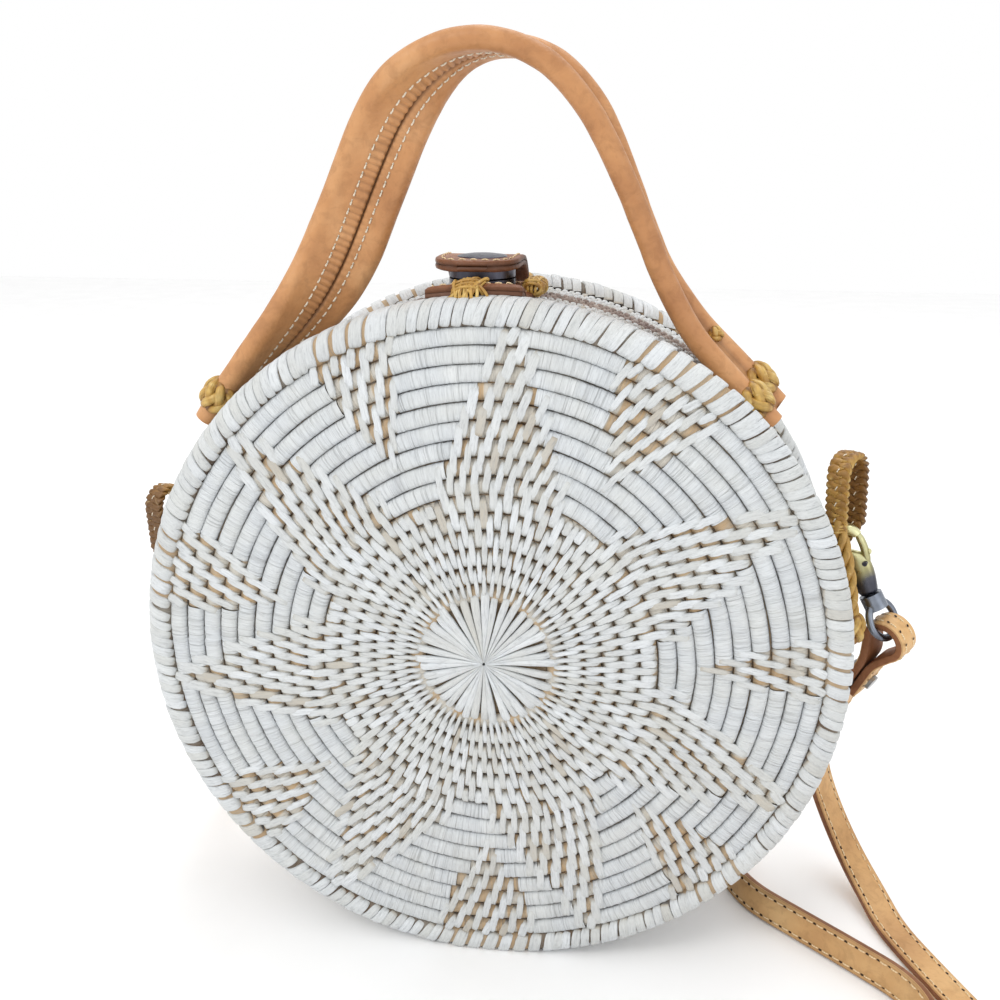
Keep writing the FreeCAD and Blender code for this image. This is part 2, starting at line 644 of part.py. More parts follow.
def clip(side, at, axes, yaw):
    """A lobster clip: claw with its gate and pin, and a swivel eye.
    Built hanging from the origin along -Z, opening to +X, then placed."""
    p = "clip_" + side
    pl = frame(at, *axes)
    full = d("claw_thick") + 1.0
    disc = prim("Cylinder", p + "_disc", Radius=CLAW, Height=d("claw_thick"))
    place(disc, 0, -0.5 * d("claw_thick"), -CLAW, ALONG_Y)
    shank, _ = padded_plate(
        p + "_shank", "XZ_Plane",
        [(-5.2, -8.0), (4.9, -8.6), (5.0, -15.0), (3.4, -22.0), (-3.4, -22.0), (-5.2, -15.0)],
        full,
    )
    eye = prim("Cylinder", p + "_hole", Radius=d("claw_hole"), Height=20)
    place(eye, 0, -10, -CLAW, ALONG_Y)
    # the mouth that the gate closes, and the slot between the pin's cheeks
    upper, _ = padded_plate(
        p + "_mouth", "XZ_Plane",
        [(0.0, -5.4), (9.0, -4.6), (9.0, -10.6), (2.0, -10.6), (0.0, -8.0)], 20.0,
    )
    slot, _ = padded_plate(
        p + "_slot", "XZ_Plane",
        [(0.9, -8.0), (9.0, -8.0), (9.0, -15.6), (0.9, -15.6)], 2.6,
    )
    pin_hole = prim("Cylinder", p + "_pin_hole", Radius=d("pin_radius"), Height=20)
    place(pin_hole, 3.1, -10, -13.0, ALONG_Y)
    neck = prim("Cylinder", p + "_neck_bore", Radius=1.6, Height=6.0)
    place(neck, 0, 0, -22.5)
    chamber = prim("Cylinder", p + "_chamber", Radius=2.15, Height=2.6)
    place(chamber, 0, 0, -19.2)
    claw = fuse(p + "_claw", disc, shank)
    hook = cut_all(p + "_hook", claw, [eye, slot, upper, pin_hole, neck, chamber])
    # gate: a thick nose in the mouth, a thin lug on the pin
    gdisc = prim("Cylinder", p + "_gdisc", Radius=CLAW - 0.1, Height=d("claw_thick") - 0.2)
    place(gdisc, 0, -0.5 * (d("claw_thick") - 0.2), -CLAW, ALONG_Y)
    geye = prim("Cylinder", p + "_geye", Radius=d("claw_hole"), Height=20)
    place(geye, 0, -10, -CLAW, ALONG_Y)
    gzone, _ = padded_plate(
        p + "_gzone", "XZ_Plane",
        [(0.6, -5.75), (8.6, -5.0), (8.6, -10.3), (2.6, -10.3), (0.6, -8.4)], 20.0,
    )
    glug = prim("Cylinder", p + "_glug", Radius=1.7, Height=2.2)
    place(glug, 3.1, -1.1, -13.0, ALONG_Y)
    glink, _ = padded_plate(
        p + "_glink", "XZ_Plane",
        [(2.6, -8.6), (5.0, -8.2), (5.2, -10.2), (4.7, -13.2), (1.6, -13.2)], 2.2,
    )
    gthumb, _ = padded_plate(
        p + "_gthumb", "XZ_Plane",
        [(5.0, -6.6), (6.5, -6.8), (6.9, -8.6), (4.6, -9.6)], 2.2,
    )
    gpin = prim("Cylinder", p + "_gpin", Radius=d("pin_radius") + 0.05, Height=20)
    place(gpin, 3.1, -10, -13.0, ALONG_Y)
    nose = cut(p + "_gate_ring", common(p + "_gate_arc", gdisc, gzone), geye)
    link = cut(p + "_glink_cut", glink, geye)
    gate = cut(p + "_gate_bored", fuse(p + "_gate_body", nose, glug, link, gthumb), gpin)
    pin = prim("Cylinder", p + "_pin", Radius=d("pin_radius"), Height=full)
    place(pin, 3.1, -0.5 * full, -13.0, ALONG_Y)
    # swivel: headed stem, knurled barrel and wire eye
    head = prim("Cylinder", p + "_head", Radius=2.05, Height=2.2)
    place(head, 0, 0, -19.0)
    stem = prim("Cylinder", p + "_stem", Radius=1.54, Height=5.6)
    place(stem, 0, 0, -23.4)
    barrel = prim("Cylinder", p + "_barrel", Radius=d("barrel_radius"), Height=4.7)
    place(barrel, 0, 0, -27.1)
    wire = prim("Torus", p + "_wire", Radius1=d("eye_major"), Radius2=d("eye_wire"))
    place(wire, 0, 0, -25.2 - d("eye_major"), FreeCAD.Rotation(V(0, 0, 1), yaw).multiply(ALONG_Y))
    swivel = fuse(p + "_swivel", head, stem, barrel, wire)
    for tag, o in (("hook", hook), ("gate", gate), ("pin", pin), ("swivel", swivel)):
        base = o.Placement
        if tag == "pin":
            for axis in "xyz":
                o.setExpression("Placement.Base." + axis, None)
        o.Placement = pl.multiply(base)
        node("clip_%s_%s" % (tag, side), o)
    print("clip", side, "pin at", pl.multVec(V(3.1, 0, -13.0)), "pin way", axes[1], "axis", axes[2],
          "hole", pl.multVec(V(0, 0, -6.0)), "stem", pl.multVec(V(0, 0, -21.0)))
    return pl.multVec(V(0, 0, -25.2 - 2 * val("eye_major")))


def strap_end(side, wire_at, down, across):
    """The strap's end, narrowed and folded round the eye, riveted to itself."""
    f = V(*down).normalize()
    a = V(*across)
    a = (a - f * a.dot(f)).normalize()
    n = a.cross(f).normalize()
    centre = wire_at + f * 0.75
    ri, ro = val("fold_hole"), val("fold_hole") + val("strap_thick") * 0.8
    tail, half = val("fold_tail"), val("strap_thick")

    def pt(u, v):
        return centre + f * u + n * v

    def teardrop(r, u_tail, w):
        # tangent from (u_tail, w) to the circle of radius r about the origin
        ang = math.atan2(w, u_tail) + math.acos(r / math.hypot(u_tail, w))
        return r * math.cos(ang), r * math.sin(ang)

    uo, vo = teardrop(ro, 14.0, half)
    ui, vi = teardrop(ri, 11.0, 0.15)
    outer_wire = Part.Wire([
        Part.Arc(pt(uo, -vo), pt(-ro, 0), pt(uo, vo)).toShape(),
        Part.LineSegment(pt(uo, vo), pt(14.0, half)).toShape(),
        Part.LineSegment(pt(14.0, half), pt(tail, half)).toShape(),
        Part.LineSegment(pt(tail, half), pt(tail, -half)).toShape(),
        Part.LineSegment(pt(tail, -half), pt(14.0, -half)).toShape(),
        Part.LineSegment(pt(14.0, -half), pt(uo, -vo)).toShape(),
    ])
    inner_wire = Part.Wire([
        Part.Arc(pt(ui, -vi), pt(-ri, 0), pt(ui, vi)).toShape(),
        Part.LineSegment(pt(ui, vi), pt(11.0, 0.15)).toShape(),
        Part.LineSegment(pt(11.0, 0.15), pt(11.0, -0.15)).toShape(),
        Part.LineSegment(pt(11.0, -0.15), pt(ui, -vi)).toShape(),
    ])
    w = val("strap_width")
    solid = Part.Face(outer_wire).extrude(a * w).cut(Part.Face(inner_wire).extrude(a * w))
    solid.translate(a * (-w / 2))

    def side_pt(u, k):
        return centre + f * u + a * k - n * 20.0

    shape = [(-9, 3.7), (4.5, 3.7), (10.0, w / 2), (tail + 1, w / 2)]
    rim = [side_pt(u, k) for u, k in shape] + [side_pt(u, -k) for u, k in reversed(shape)]
    plate = Part.Face(Part.makePolygon(rim + [rim[0]])).extrude(n * 40.0)
    solid = solid.common(plate)
    rivet_c = pt(19.0, 0)
    length = 2 * half + 2.2
    shank = Part.makeCylinder(val("rivet_radius") * 0.5, length, rivet_c - n * (length / 2), n)
    heads = [
        Part.makeCylinder(val("rivet_radius"), 1.1, rivet_c - n * (half + 1.1), n),
        Part.makeCylinder(val("rivet_radius"), 1.1, rivet_c + n * half, n),
    ]
    fold = doc.addObject("Part::Feature", "strap_end_%s_solid" % side)
    fold.Shape = solid.cut(shank)
    rivet = doc.addObject("Part::Feature", "strap_rivet_%s_solid" % side)
    rivet.Shape = shank.fuse(heads[0]).fuse(heads[1]).removeSplitter()
    node("strap_end_" + side, fold)
    node("strap_rivet_" + side, rivet)
    print("strap end", side, "tail at", pt(tail, 0), "way", f, "across", a, "hole", centre)
    return pt(tail, 0), f


way_clip = V(0.47, -0.17, -0.866).normalize()
way_clip = (way_clip - side_r * way_clip.dot(side_r)).normalize()
up_clip = way_clip * -1
x_clip = side_r.cross(up_clip)
top_r = ring_r + way_clip * (1.0 - val("claw_outer"))
# the fold lies across both the clip and the strap, and the eye's wire with it
fold_r = V(-0.25, 0.45, -0.86).normalize()
across_r = way_clip.cross(fold_r).normalize()
turn_r = math.degrees(math.atan2(across_r.dot(side_r), across_r.dot(x_clip)))
wire_r = clip("right", top_r, (x_clip, side_r, up_clip), turn_r)
tail_r, way_r = strap_end("right", wire_r, fold_r, across_r)
top_l = ring_l - UP * (1.0 - val("claw_outer"))
wire_l = clip("left", top_l, (side_l.cross(UP), side_l, UP), 4.0)
tail_l, way_l = strap_end("left", wire_l, (0.12, 0.42, -0.90), (0.962, -0.275, 0.0))

# --------------------------------------------------------------------- strap
ROUTE = [
    tail_r, tail_r + way_r * 13.0,
    V(100.3, 20.2, 50.5), V(102.3, 24.5, 39.3), V(106.2, 26.0, 27.8),
    V(111.1, 23.2, 17.0), V(116.3, 16.0, 8.6), V(120.8, 5.7, 4.1),
    V(124.2, -6.0, 3.3), V(130.8, -25.5, 3.3), V(139.0, -46.0, 3.3),
    V(145.5, -66.0, 3.3), V(147.0, -86.0, 3.3), V(139.5, -106.0, 3.3),
    V(121.0, -122.0, 3.3), V(94.0, -131.0, 3.3), V(58.0, -134.5, 3.3),
    V(20.0, -136.2, 3.3), V(0.0, -136.9, 3.3), V(-19.8, -136.0, 3.3),
    V(-33.2, -128.6, 3.3), V(-41.0, -115.2, 3.3), V(-41.0, -99.6, 3.3),
    V(-33.2, -86.2, 3.3), V(-19.8, -78.9, 3.3), V(0.0, -77.8, 3.3),
    V(24.0, -79.0, 3.3), V(54.0, -81.4, 3.3), V(82.0, -80.6, 3.3),
    V(101.4, -77.3, 3.3), V(114.1, -68.0, 3.3), V(119.6, -52.9, 3.3),
    V(116.2, -37.2, 3.3), V(105.0, -25.4, 3.3), V(92.5, -14.2, 3.3),
    V(80.4, -0.8, 3.3), V(74.1, 16.3, 3.3), V(76.3, 34.5, 3.3),
    V(74.5, 52.9, 3.3), V(62.4, 67.2, 3.3), V(44.5, 73.0, 3.3),
    V(25.3, 73.4, 3.3), V(-4.0, 71.9, 3.3), V(-34.1, 71.6, 3.3),
    V(-54.4, 70.5, 3.3), V(-74.7, 67.2, 3.3), V(-92.7, 57.8, 4.4),
    V(-102.6, 41.7, 13.0), V(-103.9, 27.8, 28.7),
    tail_l + way_l * 13.0,
    tail_l,
]


def tube(points, radius):
    """Straight runs joined by the largest tangent arcs they leave room for."""
    edges, radii, last = [], [], points[0]
    for a, b, c in zip(points, points[1:], points[2:]):
        u, w = (b - a), (c - b)
        short = min(u.Length, w.Length)
        u.normalize()
        w.normalize()
        ang = math.acos(max(-1.0, min(1.0, u.dot(w))))
        t = 0.45 * short
        r = t / math.tan(ang / 2)
        p, q = b - u * t, b + w * t
        m = b + (w - u).normalize() * (r / math.cos(ang / 2) - r)
        edges.append(Part.LineSegment(last, p).toShape())
        edges.append(Part.Arc(p, m, q).toShape())
        radii.append((round(r, 1), round(math.degrees(ang), 1)))
        last = q
    edges.append(Part.LineSegment(last, points[-1]).toShape())
    wire = Part.Wire(edges)
    start = (points[1] - points[0]).normalize()
    ring = Part.Wire([Part.Circle(points[0], start, radius).toShape()])
    return wire, wire.makePipeShell([ring], True, False), radii


path, strap_solid, radii = tube(ROUTE, val("tube_radius"))
strap = doc.addObject("Part::Feature", "strap_tube")
strap.Shape = strap_solid
node("shoulder_strap", strap)
section = math.pi * val("tube_radius") ** 2
print("strap length", round(path.Length, 1), "volume ratio",
      round(strap_solid.Volume / (section * path.Length), 4))
print("strap radii", radii)

# -------------------------------------------------------------------- output
doc.recompute()
bad = [o.Label for o in doc.Objects if "Invalid" in o.State or "Error" in o.State]
if bad:
    raise RuntimeError("failed objects: %s" % bad)
for name, obj in NODES.items():
    s = obj.Shape
    if s.isNull() or not s.isValid() or not s.Solids:
        raise RuntimeError("bad shape: %s" % name)
os.makedirs("parts", exist_ok=True)
for name, obj in NODES.items():
    obj.Shape.exportStep("parts/%s.step" % name)
    bb = obj.Shape.BoundBox
    print("%-20s solids %d  vol %9.1f  x %7.1f %7.1f  y %7.1f %7.1f  z %7.1f %7.1f" % (
        name, len(obj.Shape.Solids), obj.Shape.Volume,
        bb.XMin, bb.XMax, bb.YMin, bb.YMax, bb.ZMin, bb.ZMax))
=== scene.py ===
"""Looks of the round woven bag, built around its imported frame.

Every piece is in metres in the row frame: +X right, +Y to the back, +Z up,
with the origin on the floor under the middle of the bag.
"""
import json
import math

import bpy
import numpy as np
from mathutils import Matrix, Vector

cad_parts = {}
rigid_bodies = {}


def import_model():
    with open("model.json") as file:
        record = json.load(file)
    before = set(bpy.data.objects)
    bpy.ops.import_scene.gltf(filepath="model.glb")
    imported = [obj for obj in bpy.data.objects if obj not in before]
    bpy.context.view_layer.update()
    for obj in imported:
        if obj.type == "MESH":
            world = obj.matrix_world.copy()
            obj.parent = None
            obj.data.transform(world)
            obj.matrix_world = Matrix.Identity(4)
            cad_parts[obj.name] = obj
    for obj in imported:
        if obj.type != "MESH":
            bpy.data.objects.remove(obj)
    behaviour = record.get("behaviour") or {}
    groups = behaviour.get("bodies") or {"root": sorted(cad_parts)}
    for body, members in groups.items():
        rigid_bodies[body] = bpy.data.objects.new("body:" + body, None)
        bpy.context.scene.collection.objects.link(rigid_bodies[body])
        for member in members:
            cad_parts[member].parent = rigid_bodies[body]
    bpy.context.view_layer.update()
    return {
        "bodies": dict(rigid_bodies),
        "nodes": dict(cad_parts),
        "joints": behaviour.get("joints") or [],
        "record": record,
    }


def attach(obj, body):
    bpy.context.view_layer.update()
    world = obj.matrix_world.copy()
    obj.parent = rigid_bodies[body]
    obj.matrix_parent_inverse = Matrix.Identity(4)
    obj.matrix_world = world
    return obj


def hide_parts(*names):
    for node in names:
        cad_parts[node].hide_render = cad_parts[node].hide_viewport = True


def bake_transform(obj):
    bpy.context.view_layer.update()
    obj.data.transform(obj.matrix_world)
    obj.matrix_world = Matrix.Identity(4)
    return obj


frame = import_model()
MM = 0.001
ZC = 98.712
SCENE = bpy.context.scene


# ------------------------------------------------------------ shader helpers
class Shader:
    """A short way to write a node material."""

    def __init__(self, name):
        self.mat = bpy.data.materials.new(name)
        self.mat.use_nodes = True
        self.t = self.mat.node_tree
        self.bsdf = self.t.nodes["Principled BSDF"]

    def node(self, kind, **sets):
        n = self.t.nodes.new(kind)
        for k, v in sets.items():
            if k.startswith("in_"):
                key = k[3:].replace("_", " ")
                n.inputs[int(key) if key.isdigit() else key].default_value = v
            else:
                setattr(n, k, v)
        return n

    def link(self, a, b):
        self.t.links.new(a, b)

    def set(self, **sets):
        for k, v in sets.items():
            self.bsdf.inputs[k.replace("_", " ")].default_value = v
        return self

    def ramp(self, value, stops, interpolation="LINEAR"):
        n = self.node("ShaderNodeValToRGB")
        n.color_ramp.interpolation = interpolation
        e = n.color_ramp.elements
        while len(e) < len(stops):
            e.new(0.5)
        for i, (p, c) in enumerate(stops):
            e[i].position = p
            e[i].color = (c, c, c, 1) if isinstance(c, (int, float)) else (*c, 1)
        self.link(value, n.inputs[0])
        return n.outputs[0]

    def noise(self, scale, detail=4.0, rough=0.55, vector=None, distortion=0.0):
        n = self.node("ShaderNodeTexNoise", in_Scale=scale, in_Detail=detail, in_Roughness=rough, in_Distortion=distortion)
        if vector is not None:
            self.link(vector, n.inputs["Vector"])
        return n.outputs["Fac"]

    def coords(self, kind="Object", scale=(1, 1, 1)):
        c = self.node("ShaderNodeTexCoord").outputs[kind]
        m = self.node("ShaderNodeMapping", in_Scale=scale)
        self.link(c, m.inputs["Vector"])
        return m.outputs["Vector"]

    def mix(self, fac, a, b, blend="MIX"):
        n = self.node("ShaderNodeMix", data_type="RGBA", blend_type=blend)
        for sock, v in ((n.inputs[0], fac), (n.inputs[6], a), (n.inputs[7], b)):
            if hasattr(v, "is_linked"):
                self.link(v, sock)
            elif isinstance(v, (int, float)):
                sock.default_value = v
            else:
                sock.default_value = (*v, 1)
        return n.outputs[2]

    def math(self, op, a, b=0.0):
        n = self.node("ShaderNodeMath", operation=op)
        for sock, v in ((n.inputs[0], a), (n.inputs[1], b)):
            if hasattr(v, "is_linked"):
                self.link(v, sock)
            else:
                sock.default_value = v
        return n.outputs[0]

    def attribute(self, name):
        return self.node("ShaderNodeAttribute", attribute_name=name).outputs["Fac"]

    def bump(self, height, strength, distance, under=None):
        n = self.node("ShaderNodeBump", in_Strength=strength, in_Distance=distance)
        self.link(height, n.inputs["Height"])
        if under is not None:
            self.link(under, n.inputs["Normal"])
        return n.outputs["Normal"]

    def done(self, colour=None, rough=None, normal=None):
        if colour is not None:
            self.link(colour, self.bsdf.inputs["Base Color"])
        if rough is not None:
            self.link(rough, self.bsdf.inputs["Roughness"])
        if normal is not None:
            self.link(normal, self.bsdf.inputs["Normal"])
        return self.mat


def reed_material(name, tones, line_dark, line_scale, bump, rough=(0.5, 0.75)):
    """Flat reed: a tone for each strip, fibres along it and fine cross lines.
    The strip's own length runs along V of its map, in millimetres."""
    s = Shader(name)
    s.set(Specular_IOR_Level=0.35)
    tint = s.attribute("tint")
    base = s.ramp(tint, tones)
    fibre = s.noise(1.0, 5.0, 0.6, s.coords("UV", (2.6, 0.14, 1)))
    fine = s.noise(1.0, 3.0, 0.6, s.coords("UV", line_scale))
    blot = s.noise(90.0, 3.0, 0.5, s.coords("Object"))
    c = s.mix(s.ramp(fibre, [(0.34, 0.36), (0.58, 0.0)]), base, tuple(0.55 * x for x in tones[-1][1]))
    c = s.mix(s.ramp(fine, [(0.34, line_dark), (0.47, 0.0)]), c, tuple(0.40 * x for x in tones[-2][1]))
    c = s.mix(s.ramp(blot, [(0.36, 0.26), (0.60, 0.0)]), c, tuple(x * y for x, y in zip(tones[-1][1], (0.93, 0.90, 0.81))))
    h = s.math("ADD", s.math("MULTIPLY", fibre, 0.6), fine)
    r = s.ramp(fibre, [(0.2, rough[1]), (0.8, rough[0])])
    return s.done(c, r, s.bump(h, bump, 0.0006))


# The darkest stops of the reed ramps are painted shade: stitch ends, the grooves between rows and the gaps under the
# rim take them.
WHITE_REED = reed_material(
    "white_reed",
    [(0.0, (0.07, 0.055, 0.045)), (0.12, (0.46, 0.41, 0.33)), (0.30, (0.565, 0.575, 0.56)), (0.7, (0.625, 0.65, 0.665)), (1.0, (0.70, 0.73, 0.755))],
    0.30, (1.4, 0.3, 1), 0.8,
)
WRAP_REED = reed_material(
    "white_wrapped_rows",
    [(0.0, (0.05, 0.045, 0.04)), (0.10, (0.30, 0.30, 0.30)), (0.3, (0.61, 0.64, 0.665)), (0.7, (0.665, 0.695, 0.715)), (1.0, (0.73, 0.755, 0.775))],
    0.62, (1.9, 0.045, 1), 1.0,
)
CORE_REED = reed_material(
    "tan_core",
    [(0.0, (0.03, 0.018, 0.01)), (0.2, (0.20, 0.11, 0.05)), (0.4, (0.38, 0.24, 0.12)), (0.65, (0.52, 0.36, 0.20)), (0.8, (0.58, 0.52, 0.43)), (1.0, (0.60, 0.60, 0.58))],
    0.65, (2.2, 0.05, 1), 0.6, (0.6, 0.85),
)
# The rows next to the mouth are painted dark, as painted shade in the gap between the two halves.
SEAM_SHADE_REED = reed_material(
    "mouth_rows_painted_shade",
    [(0.0, (0.10, 0.07, 0.06)), (0.5, (0.24, 0.18, 0.16)), (1.0, (0.42, 0.36, 0.33))],
    0.4, (1.6, 0.1, 1), 0.6, (0.6, 0.85),
)


def vine_material():
    s = Shader("golden_vine")
    s.set(Specular_IOR_Level=0.5, Coat_Weight=0.12, Coat_Roughness=0.3)
    tint = s.attribute("tint")
    base = s.ramp(tint, [(0.0, (0.055, 0.022, 0.006)), (0.3, (0.20, 0.090, 0.016)), (0.55, (0.38, 0.195, 0.036)), (0.8, (0.56, 0.34, 0.075)), (1.0, (0.70, 0.50, 0.17))])
    fibre = s.noise(1.0, 4.0, 0.6, s.coords("UV", (2.2, 0.25, 1)))
    spots = s.noise(1.0, 2.0, 0.5, s.coords("UV", (0.9, 0.9, 1)))
    c = s.mix(s.ramp(fibre, [(0.3, 0.55), (0.6, 0.0)]), base, (0.12, 0.055, 0.012))
    c = s.mix(s.ramp(spots, [(0.62, 0.0), (0.75, 0.35)]), c, (0.80, 0.62, 0.30))
    r = s.ramp(fibre, [(0.2, 0.62), (0.8, 0.38)])
    return s.done(c, r, s.bump(fibre, 0.5, 0.0004))


VINE = vine_material()


def leather_material(name, dark, mid, light, grain=900.0, rough=(0.38, 0.6), wear=0.25):
    s = Shader(name)
    s.set(Specular_IOR_Level=0.45)
    o = s.coords("Object")
    cloud = s.noise(38.0, 4.0, 0.55, o)
    pores = s.node("ShaderNodeTexVoronoi", in_Scale=grain, feature="F1")
    s.link(o, pores.inputs["Vector"])
    creases = s.noise(260.0, 6.0, 0.62, o, 0.6)
    edge = s.attribute("tint")
    c = s.ramp(cloud, [(0.30, dark), (0.50, mid), (0.72, light)])
    c = s.mix(s.ramp(creases, [(0.36, wear), (0.52, 0.0)]), c, tuple(0.55 * x for x in dark))
    c = s.mix(s.ramp(edge, [(0.0, 0.85), (0.42, 0.0)]), c, tuple(0.32 * x for x in dark))
    c = s.mix(s.ramp(edge, [(0.58, 0.0), (1.0, 0.55)]), c, tuple(min(1.0, 1.22 * x) for x in light))
    h = s.math("ADD", s.math("MULTIPLY", pores.outputs["Distance"], 0.7), creases)
    r = s.ramp(creases, [(0.3, rough[1]), (0.7, rough[0])])
    return s.done(c, r, s.bump(h, 0.22, 0.0005))


TAN = leather_material("caramel_leather", (0.38, 0.165, 0.06), (0.52, 0.25, 0.098), (0.64, 0.355, 0.165))
STRAP_LEATHER = leather_material("strap_leather", (0.46, 0.245, 0.092), (0.58, 0.335, 0.135), (0.70, 0.45, 0.205))
STRAP_EDGE = leather_material("strap_edge", (0.16, 0.055, 0.02), (0.24, 0.09, 0.033), (0.33, 0.14, 0.058), 700.0, (0.5, 0.8))
BROWN = leather_material("reddish_leather", (0.15, 0.05, 0.018), (0.24, 0.088, 0.034), (0.34, 0.145, 0.06), 800.0, (0.4, 0.65), 0.4)


def metal_material(name, dark, light, rough, scratch=500.0):
    s = Shader(name)
    s.set(Metallic=1.0)
    o = s.coords("Object")
    cloud = s.noise(70.0, 4.0, 0.55, o)
    fine = s.noise(scratch, 5.0, 0.6, s.coords("Object", (1, 1, 0.25)))
    c = s.ramp(cloud, [(0.32, dark), (0.68, light)])
    r = s.ramp(fine, [(0.3, rough[0]), (0.7, rough[1])])
    return s.done(c, r, s.bump(fine, 0.12, 0.0002))


BRASS = metal_material("antique_brass", (0.20, 0.16, 0.075), (0.56, 0.50, 0.27), (0.22, 0.42))
GUNMETAL = metal_material("gunmetal", (0.045, 0.045, 0.06), (0.13, 0.13, 0.16), (0.24, 0.45))
SWIVEL = metal_material("blued_steel", (0.075, 0.085, 0.115), (0.30, 0.33, 0.38), (0.2, 0.4))
STEEL = metal_material("rivet_steel", (0.22, 0.22, 0.22), (0.42, 0.42, 0.42), (0.25, 0.45))


def thread_material(name, colour):
    s = Shader(name)
    s.set(Specular_IOR_Level=0.3)
    tw = s.node("ShaderNodeTexWave", in_Scale=0.9, in_Distortion=1.0, wave_type="BANDS", bands_direction="DIAGONAL")
    s.link(s.coords("UV"), tw.inputs["Vector"])
    c = s.mix(s.ramp(tw.outputs["Fac"], [(0.2, 0.35), (0.7, 0.0)]), colour, tuple(0.5 * x for x in colour))
    s.set(Roughness=0.7)
    return s.done(c, None, s.bump(tw.outputs["Fac"], 0.5, 0.0002))


THREAD = thread_material("pale_thread", (0.80, 0.72, 0.58))
TAN_THREAD = thread_material("tan_thread", (0.80, 0.62, 0.38))


def plain_dark(name, colour):
    s = Shader(name)
    n = s.noise(700.0, 3.0, 0.6, s.coords("Object"))
    c = s.mix(n, tuple(0.6 * x for x in colour), colour)
    s.set(Roughness=0.9)
    return s.done(c)


# Near black, as painted shade inside open stitch holes.
HOLE = plain_dark("stitch_hole", (0.035, 0.016, 0.008))
DEEP = plain_dark("shaded_core", (0.16, 0.10, 0.055))


def cloth_material():
    s = Shader("cotton_lining")
    s.set(Specular_IOR_Level=0.2, Sheen_Weight=0.2, Sheen_Roughness=0.5)
    uv = s.coords("UV")
    wa = s.node("ShaderNodeTexWave", in_Scale=0.55, in_Distortion=0.4, wave_type="BANDS", bands_direction="X")
    wb = s.node("ShaderNodeTexWave", in_Scale=0.55, in_Distortion=0.4, wave_type="BANDS", bands_direction="Y")
    s.link(uv, wa.inputs["Vector"])
    s.link(uv, wb.inputs["Vector"])
    weave = s.math("MULTIPLY", wa.outputs["Fac"], wb.outputs["Fac"])
    cloud = s.noise(25.0, 4.0, 0.5, s.coords("Object"))
    c = s.ramp(cloud, [(0.35, (0.50, 0.41, 0.29)), (0.65, (0.62, 0.53, 0.40))])
    c = s.mix(s.ramp(weave, [(0.0, 0.35), (0.5, 0.0)]), c, (0.33, 0.26, 0.17))
    s.set(Roughness=0.9)
    return s.done(c, None, s.bump(weave, 0.4, 0.0003))


LINING = cloth_material()


# --------------------------------------------------------------- mesh soup
class Soup:
    """Collects patches of quads, in millimetres, into one mesh."""

    def __init__(self):
        self.v, self.f, self.uv, self.t, self.n = [], [], [], [], 0

    def patch(self, p, uv, tint, loop=False, ring=False):
        """p is rows x columns x 3.  loop closes the rows, ring the columns."""
        a, b = p.shape[:2]
        i = np.arange(a * b).reshape(a, b) + self.n
        if loop:
            i = np.vstack([i, i[:1]])
        if ring:
            i = np.hstack([i, i[:, :1]])
        q = np.stack([i[:-1, :-1], i[1:, :-1], i[1:, 1:], i[:-1, 1:]], -1).reshape(-1, 4)
        self.v.append(p.reshape(-1, 3))
        self.f.append(q)
        self.uv.append(np.broadcast_to(uv, (a, b, 2)).reshape(-1, 2))
        self.t.append(np.broadcast_to(tint, (a, b)).reshape(-1))
        self.n += a * b

    def faces(self, p, quads, uv, tint):
        self.v.append(p)
        self.f.append(np.asarray(quads) + self.n)
        self.uv.append(np.broadcast_to(uv, (len(p), 2)))
        self.t.append(np.broadcast_to(tint, (len(p),)))
        self.n += len(p)

    def build(self, name, material, flip=False, floor=True):
        v = np.concatenate(self.v).astype(float)
        f = np.concatenate(self.f)
        uv = np.concatenate(self.uv)
        t = np.concatenate(self.t)
        if floor:
            v[:, 2] = np.maximum(v[:, 2], 0.15)
        if flip:
            f = f[:, ::-1]
        me = bpy.data.meshes.new(name)
        me.from_pydata((v * MM).tolist(), [], f.tolist())
        layer = me.uv_layers.new(name="UVMap")
        order = np.zeros(len(me.loops), np.int32)
        me.loops.foreach_get("vertex_index", order)
        layer.data.foreach_set("uv", uv[order].astype(np.float32).ravel())
        at = me.attributes.new("tint", "FLOAT", "POINT")
        at.data.foreach_set("value", t.astype(np.float32))
        me.polygons.foreach_set("use_smooth", np.ones(len(me.polygons), bool))
        me.materials.append(material)
        me.update()
        o = bpy.data.objects.new(name, me)
        SCENE.collection.objects.link(o)
        return o


def unit(a):
    return a / np.maximum(np.linalg.norm(a, axis=-1, keepdims=True), 1e-9)


def strip(soup, centre, across, up, width, thick, tint, u0=0.0, crown=0.12):
    """A flat reed that follows centre (n x 3).  across and up are n x 3 units,
    and width is n long.  It has a crowned top and two sides."""
    w = np.asarray(width)[:, None] / 2
    t = thick
    rows = [
        centre - across * w - up * t,
        centre - across * w * 0.985,
        centre - across * w * 0.90 + up * crown * 0.45,
        centre - across * w * 0.5 + up * crown * 0.85,
        centre + up * crown,
        centre + across * w * 0.5 + up * crown * 0.85,
        centre + across * w * 0.90 + up * crown * 0.45,
        centre + across * w * 0.985,
        centre + across * w - up * t,
    ]
    p = np.stack(rows, 1)
    run = np.concatenate([[0], np.cumsum(np.linalg.norm(np.diff(centre, axis=0), axis=1))])
    k = np.array([-1.1, -1.0, -0.9, -0.5, 0, 0.5, 0.9, 1.0, 1.1])
    uv = np.stack([u0 + k[None, :] * w, np.repeat(run[:, None], 9, 1)], -1)
    soup.patch(p, uv, tint)


